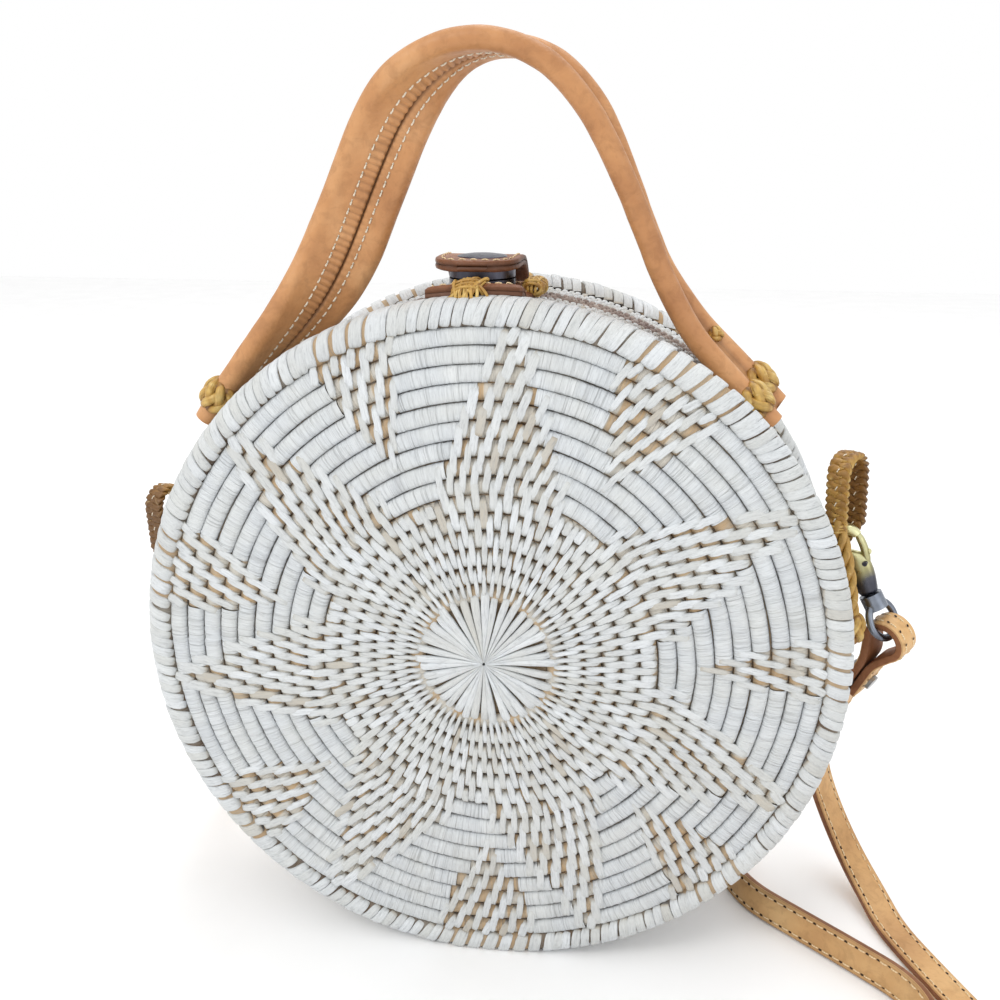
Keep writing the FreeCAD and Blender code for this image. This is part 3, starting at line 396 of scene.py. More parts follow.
def tube(soup, centre, radius, tint, sides=8, flat=None, squash=1.0, closed=False, u0=0.0):
    """A round cord, or a flattened one when flat gives its wide direction."""
    n = len(centre)
    d = np.roll(centre, -1, 0) - np.roll(centre, 1, 0) if closed else np.gradient(centre, axis=0)
    d = unit(d)
    if flat is None:
        ref = np.array([0.31, 0.52, 0.79])
        a = unit(np.cross(d, ref))
    else:
        a = unit(flat - d * np.sum(flat * d, 1, keepdims=True))
    b = np.cross(d, a)
    ang = np.linspace(0, 2 * np.pi, sides, endpoint=False)
    r = np.broadcast_to(radius, (n,))[:, None, None]
    p = centre[:, None, :] + r * (a[:, None, :] * np.cos(ang)[None, :, None] + squash * b[:, None, :] * np.sin(ang)[None, :, None])
    run = np.concatenate([[0], np.cumsum(np.linalg.norm(np.diff(centre, axis=0), axis=1))])
    uv = np.stack(np.broadcast_arrays(u0 + (ang[None, :] / np.pi) * r[:, :, 0], run[:, None]), -1)
    soup.patch(p, uv, tint, loop=closed, ring=True)
    if not closed:
        for end, s in ((0, 1), (-1, -1)):
            c = centre[end] - s * d[end] * float(r[end, 0, 0]) * 0.35
            ringp = p[end]
            pts = np.vstack([ringp, ringp * 0.45 + c * 0.55])
            quads = [(i, (i + 1) % sides, sides + (i + 1) % sides, sides + i) for i in range(sides)]
            half = sides // 2
            quads += [(sides + i, sides + i + 1, sides + sides - 2 - i, sides + sides - 1 - i) for i in range(half - 1)]
            if s < 0:
                quads = [q[::-1] for q in quads]
            soup.faces(pts, quads, (u0, 0.0), np.mean(tint))


# ------------------------------------------------------------ woven shells
ROW0, PITCH, ROWS = 17.0, 5.07, 15
RAYS = np.radians([-172.1, -120.4, -69.8, -24.8, 29.3, 85.5, 139.5])
FANS = [(-142.9, 8.0), (-90.0, 9.6), (-45.5, 7.2), (1.1, 5.6), (58.0, 9.4), (113.0, 7.2), (165.4, 8.2)]
RAY_COLUMN, FAN_COLUMN = 2 * np.pi / 100, 2 * np.pi / 104


def ray_half(r):
    return np.radians(np.interp(r, [46, 50, 60, 70, 80, 92], [23.0, 20.0, 13.0, 8.5, 4.5, 1.6]))


def fan_half(r, wide):
    return np.radians(wide * np.interp(r, [59, 64, 70, 76, 95], [0.0, 0.25, 0.5, 0.85, 1.0]))


def turn(a):
    return (a + np.pi) % (2 * np.pi) - np.pi


def star(r, th):
    """Where the long stitches of the seven-pointed star are: 0 plain, 1 in the
    star and its rays, 2 in the small fans that start at the rim."""
    r, th = np.broadcast_arrays(np.asarray(r, float), np.asarray(th, float))
    kind = np.where(r < ROW0 + 6 * PITCH, 1, 0)
    w = ray_half(r) - 1.0 / r
    for c in RAYS:
        kind = np.where((kind == 0) & (r < 92.5) & (np.abs(turn(th - c)) < w), 1, kind)
    for c, wide in FANS:
        kind = np.where((kind == 0) & (np.abs(turn(th - math.radians(c))) < fan_half(r, wide) - 0.6 / r), 2, kind)
    return kind


def disc_point(r, th, h, sign):
    y = sign * (31.0 + 3.3 * (1.0 - np.minimum(r / 93.0, 1.0) ** 2) + h)
    # a hand-laid coil is never quite round
    r = r + 4.0 * (r / 95.0) * np.clip(1.0 - r / 95.0, 0.0, 1.0) * (0.9 * np.cos(th - 0.7) + 0.45 * np.cos(3.0 * th + 1.9))
    return np.stack(np.broadcast_arrays(r * np.cos(th), y, ZC + r * np.sin(th)), -1)


def rows_of(sign, seed, steps):
    """The coiled rows of one disc: white wrapped stretches and bare core."""
    g = np.random.default_rng(seed)
    wrapped, bare = Soup(), Soup()
    for k in range(ROWS):
        r_in, r_out = ROW0 + k * PITCH, ROW0 + (k + 1) * PITCH
        th = np.linspace(-np.pi, np.pi, steps, endpoint=False)
        t = np.array([0.0, 0.035, 0.075, 0.2, 0.35, 0.5, 0.65, 0.8, 0.925, 0.965, 1.0])
        wob = np.interp(th, np.linspace(-np.pi, np.pi, 49), g.normal(0, 0.10, 49), period=2 * np.pi)
        r = r_in + t[None, :] * PITCH + wob[:, None]
        kind = star((r_in + r_out) / 2 + 0 * th, th)
        lump = g.normal(0, 0.075, steps)
        plain_h = -1.5 + 1.75 * (1 - np.abs(2 * t - 1) ** 5.0)
        bare_h = -1.7 + 1.45 * (1 - np.abs(2 * t - 1) ** 2.4)
        mid = (r_in + r_out) / 2
        uv = np.stack(np.broadcast_arrays(th[:, None] * mid, t[None, :] * PITCH + 31.7 * k), -1)
        for soup, want, prof in ((wrapped, True, plain_h), (bare, False, bare_h)):
            p = disc_point(r, th[:, None], prof[None, :] + lump[:, None] * (prof[None, :] > -1), sign)
            tone = 0.55 + 0.3 * np.interp(th, np.linspace(-np.pi, np.pi, 160), g.normal(0, 0.5, 160), period=2 * np.pi)
            if not want:
                cell = np.floor(th * mid / 2.9).astype(int)
                cell = cell - cell.min()
                share = np.where(kind == 2, 0.62, 0.34 if mid > 34 else 0.5)
                tan_cell = g.random(cell.max() + 1)[cell] < share
                tone = np.where(tan_cell, 0.6, 0.88) + 0.1 * (tone - 0.55)
            # The edges of each row are painted dark, as painted shade in the grooves between rows, and nick varies that
            # shade at random.
            edge = np.where(np.abs(2 * t - 1) > 0.94, 0.0, np.where(np.abs(2 * t - 1) > 0.87, 0.4, 1.0))
            nick = np.where((edge > 0.1) & (edge < 0.9), g.uniform(0.3, 1.9, (steps, 1)), 1.0)
            tone = np.clip(tone[:, None], 0.25, 1) * edge[None, :] * nick
            on = (kind == 0) == want
            idx = np.arange(steps)
            # patches of consecutive steps of the wanted kind
            cuts = np.flatnonzero(np.diff(np.concatenate([[False], on, [False]]).astype(int)))
            for a, b in zip(cuts[::2], cuts[1::2]):
                take = np.arange(a, b + 1) % steps
                if b - a == steps:
                    soup.patch(p, uv, tone, loop=True)
                else:
                    soup.patch(p[take], uv[take] if b < steps else np.concatenate([uv[take[:-1]], uv[take[-2:-1]] + [[[mid * 2 * np.pi / steps, 0]]]]), tone[take])
    return wrapped, bare


def stitches_of(sign, seed):
    """The long flat stitches of the star, each over two rows, and the hub."""
    g = np.random.default_rng(seed)
    soup = Soup()
    s = np.linspace(0, 1, 11)
    end = np.clip(np.minimum(s, 1 - s) / 0.13, 0, 1)
    rise = end * end * (3 - 2 * end)
    taper = 0.55 + 0.50 * np.sqrt(np.clip(np.minimum(s, 1 - s) / 0.26, 0, 1))
    for k in range(ROWS):
        r0 = ROW0 + 1.2 if k == 0 else ROW0 + k * PITCH
        r1 = min(ROW0 + (k + 2) * PITCH, 94.0)
        mid = (r0 + r1) / 2
        places = []
        if k < 6:
            for j in range(68):
                t0 = (j + 0.5 * (k % 2)) * 2 * np.pi / 68 - np.pi
                ray = np.min(np.abs(turn(t0 - RAYS))) < ray_half(50.0)
                places.append((t0, 2 * np.pi / 68, 1, r1 if k < 5 or ray else r0 + PITCH))
        if k >= 6:
            for c in RAYS:
                for j in range(-6, 7):
                    t0 = (j + 0.5 * (k % 2)) * RAY_COLUMN
                    if abs(t0) < max(ray_half(mid), 0.02) and mid < 93:
                        places.append((c + t0, RAY_COLUMN, 1, r1))
            for c, wide in FANS:
                for j in range(-4, 5):
                    t0 = (j + 0.5 * (k % 2)) * FAN_COLUMN
                    if abs(t0) < fan_half(mid, wide):
                        places.append((math.radians(c) + t0, FAN_COLUMN, 2, r1))
        for a0, column, kind, r_end in places:
            room = column * (r0 + r_end) / 2
            r = r0 + 0.34 + (r_end - r0 - 0.68) * s
            th = a0 + column * (g.normal(0, 0.04) - (0.44 if k >= 6 else -0.10) * (s - 0.5)) + g.normal(0, 0.05, 11) / r
            wide = room * (0.39 if kind == 2 else (0.475 if k >= 6 else 0.485)) * g.uniform(0.90, 1.08)
            if k >= 6 and kind == 1:
                wide = wide * np.interp(r0, [47, 90], [1.1, 0.95])
            h = -1.25 + 1.62 * rise - 0.06 * np.exp(-((s - 0.5) / 0.10) ** 2) + g.normal(0, 0.06)
            c = disc_point(r, th, h, sign)
            d = unit(np.gradient(c, axis=0))
            up = np.broadcast_to(np.array([0.0, sign, 0.0]), c.shape)
            across = unit(np.cross(d, up))
            upn = np.cross(across, d)
            tone = np.clip(g.normal(0.66, 0.2) - (0.3 if g.random() < 0.12 else 0), 0, 1)
            # The stitch is painted darker where it dips into the coil, and near black at its very ends, as painted
            # shade in the holes it goes into.
            shade = np.clip(tone - 0.25 * (1 - rise), 0.16, 1)
            shade[[0, -1]] = 0.0
            shade[[1, -2]] *= 0.62
            strip(soup, c, across, upn, wide * taper * (1 + g.normal(0, 0.015, 11)), 0.7, shade[:, None], g.uniform(0, 900), 0.15)
    # hub: tapering strips that meet in the middle
    n = 40
    for j in range(n):
        a0 = (j + g.normal(0, 0.10)) * 2 * np.pi / n
        r_out = 19.6 + g.uniform(-1.6, 1.6)
        r = np.concatenate([[0.4], np.linspace(1.5, r_out, 11)])
        q = np.linspace(0, 1, 12)
        end = np.clip((1 - q) / 0.10, 0, 1)
        th = a0 + g.normal(0, 0.02) * np.sin(q * 2.5)
        h = 0.55 * np.exp(-(r / 5.0) ** 2) + 0.15 + g.uniform(-0.06, 0.16) - 1.3 * (1 - end)
        c = disc_point(r, th, h, sign)
        d = unit(np.gradient(c, axis=0))
        up = np.broadcast_to(np.array([0.0, sign, 0.0]), c.shape)
        across = unit(np.cross(d, up))
        room = 2 * np.pi * r / n
        width = np.minimum(room * g.uniform(0.80, 0.98) + 0.10, g.uniform(1.75, 2.45))
        tone = np.clip(g.normal(0.72, 0.14), 0, 1)
        crown = 0.42
        strip(soup, c, across, np.cross(across, d), width, 0.8, np.full((12, 1), tone), g.uniform(0, 900), crown)
    return soup


RIM = np.array([
    (92.4, 30.0), (93.1, 31.0), (94.2, 31.75), (95.6, 32.0), (97.2, 31.7), (98.7, 30.8),
    (99.8, 29.3), (100.25, 27.4), (100.25, 25.4), (99.9, 23.6), (99.0, 22.2), (97.6, 21.4),
])


def ring_point(r, y, th):
    return np.stack(np.broadcast_arrays(r * np.cos(th), y, ZC + r * np.sin(th)), -1)


def rim_of(sign, seed):
    """Reeds wrapped over the edge between the disc and the wall."""
    g = np.random.default_rng(seed)
    soup, core = Soup(), Soup()
    n = 204
    step = 2 * np.pi / n
    dense = np.linspace(0, len(RIM) - 1, 17)
    pr = np.interp(dense, np.arange(len(RIM)), RIM[:, 0])
    py = np.interp(dense, np.arange(len(RIM)), RIM[:, 1])
    tang = unit(np.stack([np.gradient(pr), np.gradient(py)], -1))
    nr, ny = -tang[:, 1], tang[:, 0]
    out = np.sign(nr[len(nr) // 2])
    nr, ny = nr * out, ny * out
    spots = []
    for j in range(n):
        a = turn(j * step + g.normal(0, 0.05) * step)
        if int(star(92.0, a)) != 2:
            spots.append((a, step * 98.0 * 0.90, 0.0))
    for c, wide in FANS:
        half = 96.0 * math.radians(wide)
        m = max(2, int(round(2 * half / 4.9)))
        for j in range(m):
            spots.append((math.radians(c) + (j + 0.5 - m / 2) * 2 * half / m / 96.0, 2 * half / m * 0.74, 1.0))
    for a, wide, fan in spots:
        lift = g.normal(0.12, 0.07)
        lean = g.normal(0.85, 0.12)
        th = a + np.linspace(lean, -lean, 17) * step
        q = np.linspace(g.uniform(0.0, 0.9), 16, 17)
        qr, qy = np.interp(q, np.arange(17), pr), np.interp(q, np.arange(17), py)
        mr, my = np.interp(q, np.arange(17), nr), np.interp(q, np.arange(17), ny)
        lift = lift - 0.75 * np.array([1.0, 0.45, 0.1] + [0.0] * 14)
        c = ring_point(qr + mr * lift, sign * (qy + my * lift), th)
        d = unit(np.gradient(c, axis=0))
        up = ring_point(mr, sign * my, th) - np.array([0, 0, ZC])
        across = unit(np.cross(d, unit(up)))
        tone = np.clip(g.normal(0.64, 0.17), 0.2, 1)
        point = np.array([0.72, 0.86, 0.95] + [1.0] * 14)
        # The reed's ends are painted darker, as painted shade where they tuck under.
        strip(soup, c, across, np.cross(across, d), wide * point * g.uniform(0.90, 1.04) * (1 + g.normal(0, 0.015, 17)), 0.7, np.clip(tone - 0.6 * np.array([1.0, 0.4] + [0.0] * 14 + [0.6]), 0, 1)[:, None], g.uniform(0, 900), 0.15)
    # The core under the wraps is painted near black, as painted shade in the gaps, and tan in the fans.
    th = np.linspace(-np.pi, np.pi, 240, endpoint=False)
    p = ring_point((pr - nr * 0.5)[None, :], sign * (py - ny * 0.5)[None, :], th[:, None])
    uv = np.stack(np.broadcast_arrays(th[:, None] * 98.0, np.arange(17)[None, :] * 1.3), -1)
    core.patch(p, uv, np.where(star(92.0, th) == 2, 0.5, 0.03)[:, None] + 0.08 * g.random((240, 1)), loop=True)
    return soup, core


def wall_of(y_rim, y_mouth, rows, seed, dark):
    """Side wall: rows of coil with short stitches set like bricks."""
    g = np.random.default_rng(seed)
    soup, core, seam = Soup(), Soup(), Soup()
    pitch = (y_mouth - y_rim) / rows
    n = 300
    step = 2 * np.pi / n
    th = np.linspace(-np.pi, np.pi, 240, endpoint=False)
    for k in range(rows):
        y0 = y_rim + k * pitch
        t = np.linspace(0, 1, 7)
        prof = 95.7 + 1.35 * (1 - np.abs(2 * t - 1) ** 2.4)
        p = ring_point(prof[None, :], (y0 + t * pitch)[None, :], th[:, None])
        uv = np.stack(np.broadcast_arrays(th[:, None] * 97.0, t[None, :] * abs(pitch) + 13.0 * k), -1)
        # The core between the wall's stitches is tan, painted darker as painted shade in the gaps.
        core.patch(p, uv, 0.3 + 0.25 * g.random((240, 1)), loop=True)
        # the rows nearest the mouth go to the seam soup, which takes the painted-shade reed
        last = k >= rows - dark
        s = np.linspace(0, 1, 6)
        rise = np.clip(np.minimum(s, 1 - s) / 0.22, 0, 1)
        for j in range(n):
            a = (j + 0.5 * (k % 2)) * step + g.normal(0, 0.05) * step
            y = y0 + pitch * (0.04 + 1.0 * s if k < rows - 1 else 0.04 + 0.94 * s)
            r = 96.2 + 1.25 * rise + g.normal(0, 0.05)
            c = ring_point(r, y, a + 0.16 * step * (s - 0.5))
            d = unit(np.gradient(c, axis=0))
            up = ring_point(np.ones(6), 0 * s, np.full(6, a)) - np.array([0, 0, ZC])
            across = unit(np.cross(d, up))
            tone = np.clip(g.normal(0.62, 0.18) - 0.25 * (g.random() < 0.1), 0.15, 1)
            # The stitch's ends are painted black, as painted shade in the holes.
            shade = np.full(6, tone)
            shade[[0, -1]] = 0.0
            strip(seam if last else soup, c, across, np.cross(across, d), np.full(6, step * 97 * 0.78 * g.uniform(0.9, 1.06)), 0.5, shade[:, None], g.uniform(0, 900), 0.24)
    return soup, core, seam


def inner_wall(y_back, y_mouth, seed):
    """The wall's inner face and its rounded lip at the mouth."""
    g = np.random.default_rng(seed)
    soup = Soup()
    s = np.sign(y_mouth - y_back)
    t = np.linspace(0, 1, 61)
    y = y_back + (y_mouth - s * 1.2 - y_back) * t
    r = 93.0 - 0.55 * np.abs(np.sin(np.pi * t * abs(y_mouth - y_back) / 4.7)) ** 0.7
    lip = np.linspace(0, np.pi, 9)
    y = np.concatenate([y, y_mouth - s * 1.2 + s * 1.15 * np.sin(lip)[1:]])
    r = np.concatenate([r, 94.6 - 1.9 * np.cos(lip)[1:] + 0.35])
    th = np.linspace(-np.pi, np.pi, 300, endpoint=False)
    p = ring_point(r[None, :] + 0.06 * g.normal(0, 1, (300, 1)), y[None, :], th[:, None])
    uv = np.stack(np.broadcast_arrays(th[:, None] * 93.0, y[None, :] * 1.0), -1)
    soup.patch(p, uv, np.clip(0.45 + 0.25 * g.normal(0, 1, (300, 1)), 0, 1), loop=True)
    return soup


def gap_shade_sheet(sign):
    """A dark sheet under the disc's stitches: painted shade that shows only in the gaps."""
    soup = Soup()
    th = np.linspace(-np.pi, np.pi, 96, endpoint=False)
    r = np.array([0.4, 20.0, 50.0, 80.0, 95.0])
    uv = np.stack(np.broadcast_arrays(th[:, None] * 60.0, r[None, :]), -1)
    soup.patch(disc_point(r[None, :], th[:, None], np.full((96, 5), -1.9), sign), uv, 0.42, loop=True)
    return soup


def relieve(soup, sign, mouth):
    """Draws the wall's edge back below the hinge line, so the halves can turn."""
    for i, v in enumerate(soup.v):
        v = np.array(v, float)
        low = np.clip(6.6 - v[:, 2], 0, None)
        near = np.clip(1 - np.abs(v[:, 1] - mouth) / 9.0, 0, 1)
        v[:, 1] += sign * near * (0.60 * low + 0.25 * np.clip(low, 0, 1))
        soup.v[i] = v
    return soup


def shell(side, sign, body, rim_y, mouth, wall_rows, seed, steps):
    made = []
    flip = sign > 0
    wrapped, bare = rows_of(sign, seed, steps)
    made.append(wrapped.build(side + "_plain_rows", WRAP_REED, flip))
    made.append(bare.build(side + "_bare_rows", CORE_REED, flip))
    made.append(stitches_of(sign, seed + 1).build(side + "_star_stitches", WHITE_REED))
    rim, core = rim_of(sign, seed + 2)
    made.append(rim.build(side + "_rim_wraps", WHITE_REED))
    made.append(core.build(side + "_rim_core", CORE_REED, flip))
    w, c, s = (relieve(x, sign, mouth) for x in wall_of(sign * rim_y, mouth, wall_rows, seed + 3, 2 if sign < 0 else 1))
    made.append(w.build(side + "_wall_stitches", WHITE_REED))
    made.append(c.build(side + "_wall_core", CORE_REED, not flip))
    made.append(s.build(side + "_mouth_stitches", SEAM_SHADE_REED))
    made.append(relieve(inner_wall(sign * 26.0, mouth, seed + 4), sign, mouth).build(side + "_inner_wall", CORE_REED, flip))
    made.append(gap_shade_sheet(sign).build(side + "_backing", CORE_REED, flip))
    for o in made:
        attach(o, body)
    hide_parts(side + "_panel")
    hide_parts(side + "_wall")
    return made


shell("front", -1, "bag_body", 21.6, 6.95, 9, 11, 720)
shell("rear", 1, "lid", 21.6, 7.55, 4, 41, 480)

# ------------------------------------------------------------- line helpers
def rounded_line(points, times=4):
    """A smooth line that starts and ends at the first and last points."""
    p = np.asarray(points, float)
    for _ in range(times):
        q, r = 0.75 * p[:-1] + 0.25 * p[1:], 0.25 * p[:-1] + 0.75 * p[1:]
        p = np.vstack([p[:1], np.stack([q, r], 1).reshape(-1, p.shape[1]), p[-1:]])
    return p


def run_of(p):
    return np.concatenate([[0], np.cumsum(np.linalg.norm(np.diff(p, axis=0), axis=1))])


def even(p, step, extra=None):
    """Points at even distances along p, with extra (n x m) carried along."""
    s = run_of(p)
    t = np.linspace(0, s[-1], max(3, int(round(s[-1] / step)) + 1))
    out = np.stack([np.interp(t, s, p[:, i]) for i in range(p.shape[1])], -1)
    if extra is None:
        return out, t
    return out, t, np.stack([np.interp(t, s, extra[:, i]) for i in range(extra.shape[1])], -1)


def vec(*a):
    return np.array(a, float)


def turks_head(soup, centre, axis, rho, half, bights, wide, thick, seed, leads=3, squash=(1.0, 1.0), ref=None, tone=0.62):
    """A woven band knot round an axis: one strand that weaves over and under."""
    g = np.random.default_rng(seed)
    axis = unit(np.asarray(axis, float))
    ref = vec(0.2, 0.3, 0.9) if ref is None else np.asarray(ref, float)
    a = unit(ref - axis * (ref @ axis))
    b = np.cross(axis, a)
    n = 26 * leads * bights // 3
    th = np.linspace(0, 2 * np.pi * leads, n, endpoint=False)
    w = bights / leads
    lift = rho + thick + 0.75 * thick * np.sin(2 * w * th + 0.6)
    along = half * np.sin(w * th)
    bulge = 1.0 - 0.16 * (along / half) ** 2
    r = lift * bulge
    c = centre + (np.cos(th) * r * squash[0])[:, None] * a + (np.sin(th) * r * squash[1])[:, None] * b + along[:, None] * axis
    out = (np.cos(th) / squash[0])[:, None] * a + (np.sin(th) / squash[1])[:, None] * b
    d = unit(np.roll(c, -1, 0) - np.roll(c, 1, 0))
    flat = np.cross(d, unit(out))
    # The strand is painted lighter where it rides over and darker where it dips under, as painted highlight and shade.
    tint = np.clip(tone + 0.30 * np.sin(2 * w * th + 0.6) + 0.08 * g.normal(0, 1, n), 0, 1)
    tube(soup, c, wide, tint[:, None], 8, flat, thick / wide, True, g.uniform(0, 99))


def wraps(soup, centre, axis, a_dir, radii, turns, pitch, thread, tone, seed):
    """A thread wound round something with an oval section."""
    g = np.random.default_rng(seed)
    axis = unit(np.asarray(axis, float))
    a = unit(np.asarray(a_dir, float) - axis * (np.asarray(a_dir, float) @ axis))
    b = np.cross(axis, a)
    th = np.linspace(0, 2 * np.pi * turns, int(22 * turns))
    c = centre + np.outer(np.cos(th) * radii[0], a) + np.outer(np.sin(th) * radii[1], b) + np.outer((th / (2 * np.pi) - turns / 2) * pitch, axis)
    tube(soup, c, thread, np.clip(tone + 0.1 * g.normal(0, 1, (len(th), 1)), 0, 1), 6)


def sew(soup, c, up, along, length, radius, tone=0.7):
    """Single stitches: short threads that dip into the leather at both ends."""
    s = np.array([-0.5, -0.36, 0.0, 0.36, 0.5])
    lift = np.array([-0.35, 0.12, 0.24, 0.12, -0.35])
    for p, u, t in zip(c, up, along):
        line = p + np.outer(s * length, t) + np.outer(lift, u)
        tube(soup, line, radius, np.full((5, 1), tone), 6)


def cap(soup, ring, tint, inset=0.0, flip=False):
    mid = ring.mean(0)
    rows = np.stack([ring, ring * 0.55 + mid * 0.45, ring * 0.1 + mid * 0.9], 0)
    if flip:
        rows = rows[:, ::-1]
    soup.patch(rows, np.zeros(2), tint, ring=True)


# ------------------------------------------------------------------ handle
HANDLE = [
    (76.6, 166.2, -12), (73.4, 169.5, -12), (67.2, 175.4, -12), (60.4, 182.3, -11), (54.6, 188.4, -9), (50.1, 194.4, -6),
    (45.8, 201.5, -2), (42.0, 208.8, 0), (38.9, 216.3, 0), (35.8, 223.8, -1), (32.4, 231.2, -3), (28.9, 238.6, -5),
    (24.7, 245.8, -7), (19.4, 252.2, -7), (13.2, 257.4, -6), (6.6, 260.2, -3), (0.0, 261.2, 2), (-6.5, 260.6, 9),
    (-12.5, 258.3, 19), (-18.3, 254.3, 33), (-23.4, 249.4, 47), (-27.6, 243.1, 60), (-30.9, 236.4, 69), (-33.7, 230.0, 74),
    (-36.6, 223.4, 76), (-39.4, 217.0, 76), (-42.3, 210.6, 75), (-45.6, 204.2, 71), (-49.4, 198.2, 62), (-53.7, 192.5, 51),
    (-58.9, 186.7, 39), (-65.0, 180.4, 28), (-71.4, 173.5, 20), (-77.9, 165.8, 14), (-82.3, 159.8, 12),
]
HANDLE_Y = -7.5


def handle_frame(step=1.0):
    """Points, tangent, outward and depth directions along the handle."""
    ctl = rounded_line(np.array(HANDLE, float))
    p2, s, tw = even(ctl[:, :2], step, ctl[:, 2:])
    c = np.stack([p2[:, 0], np.full(len(p2), HANDLE_Y), p2[:, 1]], -1)
    t = unit(np.gradient(c, axis=0))
    out = np.stack([t[:, 2], 0 * s, -t[:, 0]], -1)
    deep = np.broadcast_to(vec(0, 1, 0), out.shape)
    f = np.radians(tw)
    return c, s, t, np.cos(f) * out + np.sin(f) * deep, np.cos(f) * deep - np.sin(f) * out


ROLL, APART = 3.1, 7.7
SEAM, SEWN = 1.7, (-2.4, 4.1)


def handle_section():
    """Outline across the handle: a flat web on the outside, the front roll, the
    sewn underside with its butt seam, and the rear roll."""
    al = np.radians(np.linspace(-76, 196, 20))
    front = np.stack([ROLL * np.cos(al), -APART - ROLL * np.sin(al)], -1)
    under = np.array([
        (-2.85, -5.8), (-2.72, -4.6), (-2.64, -3.4), (-2.56, -2.4), (-2.62, -1.6), (-2.62, -0.8), (-2.62, 0.0), (-2.58, 0.75),
        (-2.42, 1.30), (-1.20, 1.60), (-1.20, 1.80), (-2.40, 2.10), (-2.52, 2.7), (-2.56, 3.4), (-2.52, 4.1), (-2.72, 4.9), (-2.85, 5.8),
    ])
    t_under = np.array([0.46, 0.45, 0.44, 0.32, 0.44, 0.44, 0.44, 0.40, 0.26, 0.0, 0.0, 0.26, 0.42, 0.44, 0.32, 0.44, 0.46])
    rear = front[::-1] * [1, -1]
    t_roll = np.concatenate([[0.22, 0.36, 0.46], np.full(17, 0.5)])
    web = np.array([(0.45, 4.0), (0.3, 2.0), (0.25, 0.0), (0.3, -2.0), (0.45, -4.0)])
    return np.vstack([front, under, rear, web]), np.concatenate([t_roll, t_under, t_roll[::-1], np.full(5, 0.25)])


def build_handle():
    c, s, t, out, deep = handle_frame(0.45)
    sec, tone = handle_section()
    n, m = len(c), len(sec)
    nn = np.broadcast_to(sec[:, 0], (n, m)).copy()
    bb = np.broadcast_to(sec[:, 1], (n, m)).copy()
    g = np.random.default_rng(5)
    wave = np.interp(s, np.linspace(0, s[-1], 60), g.normal(0, 1, 60))
    # the leather gathers into small pleats between the stitches and the seam
    inner = (sec[:, 0] < -1.9) & (sec[:, 1] > SEWN[0] + 0.3) & (sec[:, 1] < SEWN[1] - 0.3)
    gather = np.clip(np.minimum(s - 18.0, s[-1] - 22.0 - s) / 25.0, 0, 1)
    ripple = np.sin(2 * np.pi * (s / 1.95 + 0.18 * wave))
    size = np.where(sec[:, 1] < SEAM, 0.26, 0.10)
    nn += np.where(inner[None, :], (ripple * gather)[:, None] * size[None, :], 0.0) + 0.06 * wave[:, None]
    bb *= 1.0 + 0.012 * np.interp(s, np.linspace(0, s[-1], 25), g.normal(0, 1, 25))[:, None]
    p = c[:, None, :] + nn[..., None] * out[:, None, :] + bb[..., None] * deep[:, None, :]
    around = np.concatenate([[0], np.cumsum(np.linalg.norm(np.diff(sec, axis=0), axis=1))])
    uv = np.stack(np.broadcast_arrays(around[None, :], s[:, None]), -1)
    # The hollows of the pleats are painted darker, as painted shade.
    tint = np.clip(tone[None, :] + np.where(inner[None, :], -0.16 * (ripple * gather)[:, None] * (size / 0.26)[None, :], 0), 0, 1)
    soup = Soup()
    soup.patch(p, uv, tint, ring=True)
    cap(soup, p[0], 0.2)
    cap(soup, p[-1], 0.2, flip=True)
    leather = soup.build("handle_leather", TAN, floor=False)
    threads = Soup()
    marks = np.arange(14.0, s[-1] - 14.0, 2.6)
    for b in SEWN:
        at = np.stack([np.interp(marks, s, (c + -2.55 * out + b * deep)[:, i]) for i in range(3)], -1)
        o = -np.stack([np.interp(marks, s, out[:, i]) for i in range(3)], -1)
        tt = np.stack([np.interp(marks, s, t[:, i]) for i in range(3)], -1)
        sew(threads, at, o, tt, 1.75, 0.25, 0.8)
    stitched = threads.build("handle_stitches", THREAD, floor=False)
    cords = Soup()
    for b in (-APART, APART):
        tube(cords, (c + b * deep)[9:-9:2], 2.0, 0.5, 10)
    filling = cords.build("handle_filling", DEEP, floor=False)
    for o in (leather, stitched, filling):
        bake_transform(o)
    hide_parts("handle_grip", "handle_end_left", "handle_end_right")
    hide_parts("handle_core_front", "handle_core_rear")
    # knots on the four roll ends, and one small tie across the groove
    for side, at in (("right", 8.0), ("left", s[-1] - 8.0)):
        i = int(np.argmin(np.abs(s - at)))
        soup = Soup()
        for k, b in enumerate((-APART + 0.2, APART - 0.2)):
            turks_head(soup, c[i] + b * deep[i] + 0.35 * out[i], t[i], 3.1, 3.6, 7, 1.30, 0.80, 60 + k + int(at), ref=out[i])
            # the inner layer is painted darker, as painted shade under the outer one
            turks_head(soup, c[i] + b * deep[i] + 0.35 * out[i], t[i], 2.60, 3.7, 7, 1.30, 0.70, 80 + k + int(at), ref=out[i], tone=0.5)
        o = soup.build("handle_knots_" + side, VINE, floor=False)
        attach(o, "bag_body")
        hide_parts("handle_ties_" + side)
    i = int(np.argmin(np.abs(s - 26.5)))
    soup = Soup()
    turks_head(soup, c[i] + (APART - 2.9) * deep[i] + 1.7 * out[i], t[i], 0.6, 1.4, 4, 0.8, 0.55, 99, ref=out[i])
    o = soup.build("handle_groove_tie", VINE, floor=False)
    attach(o, "bag_body")


build_handle()


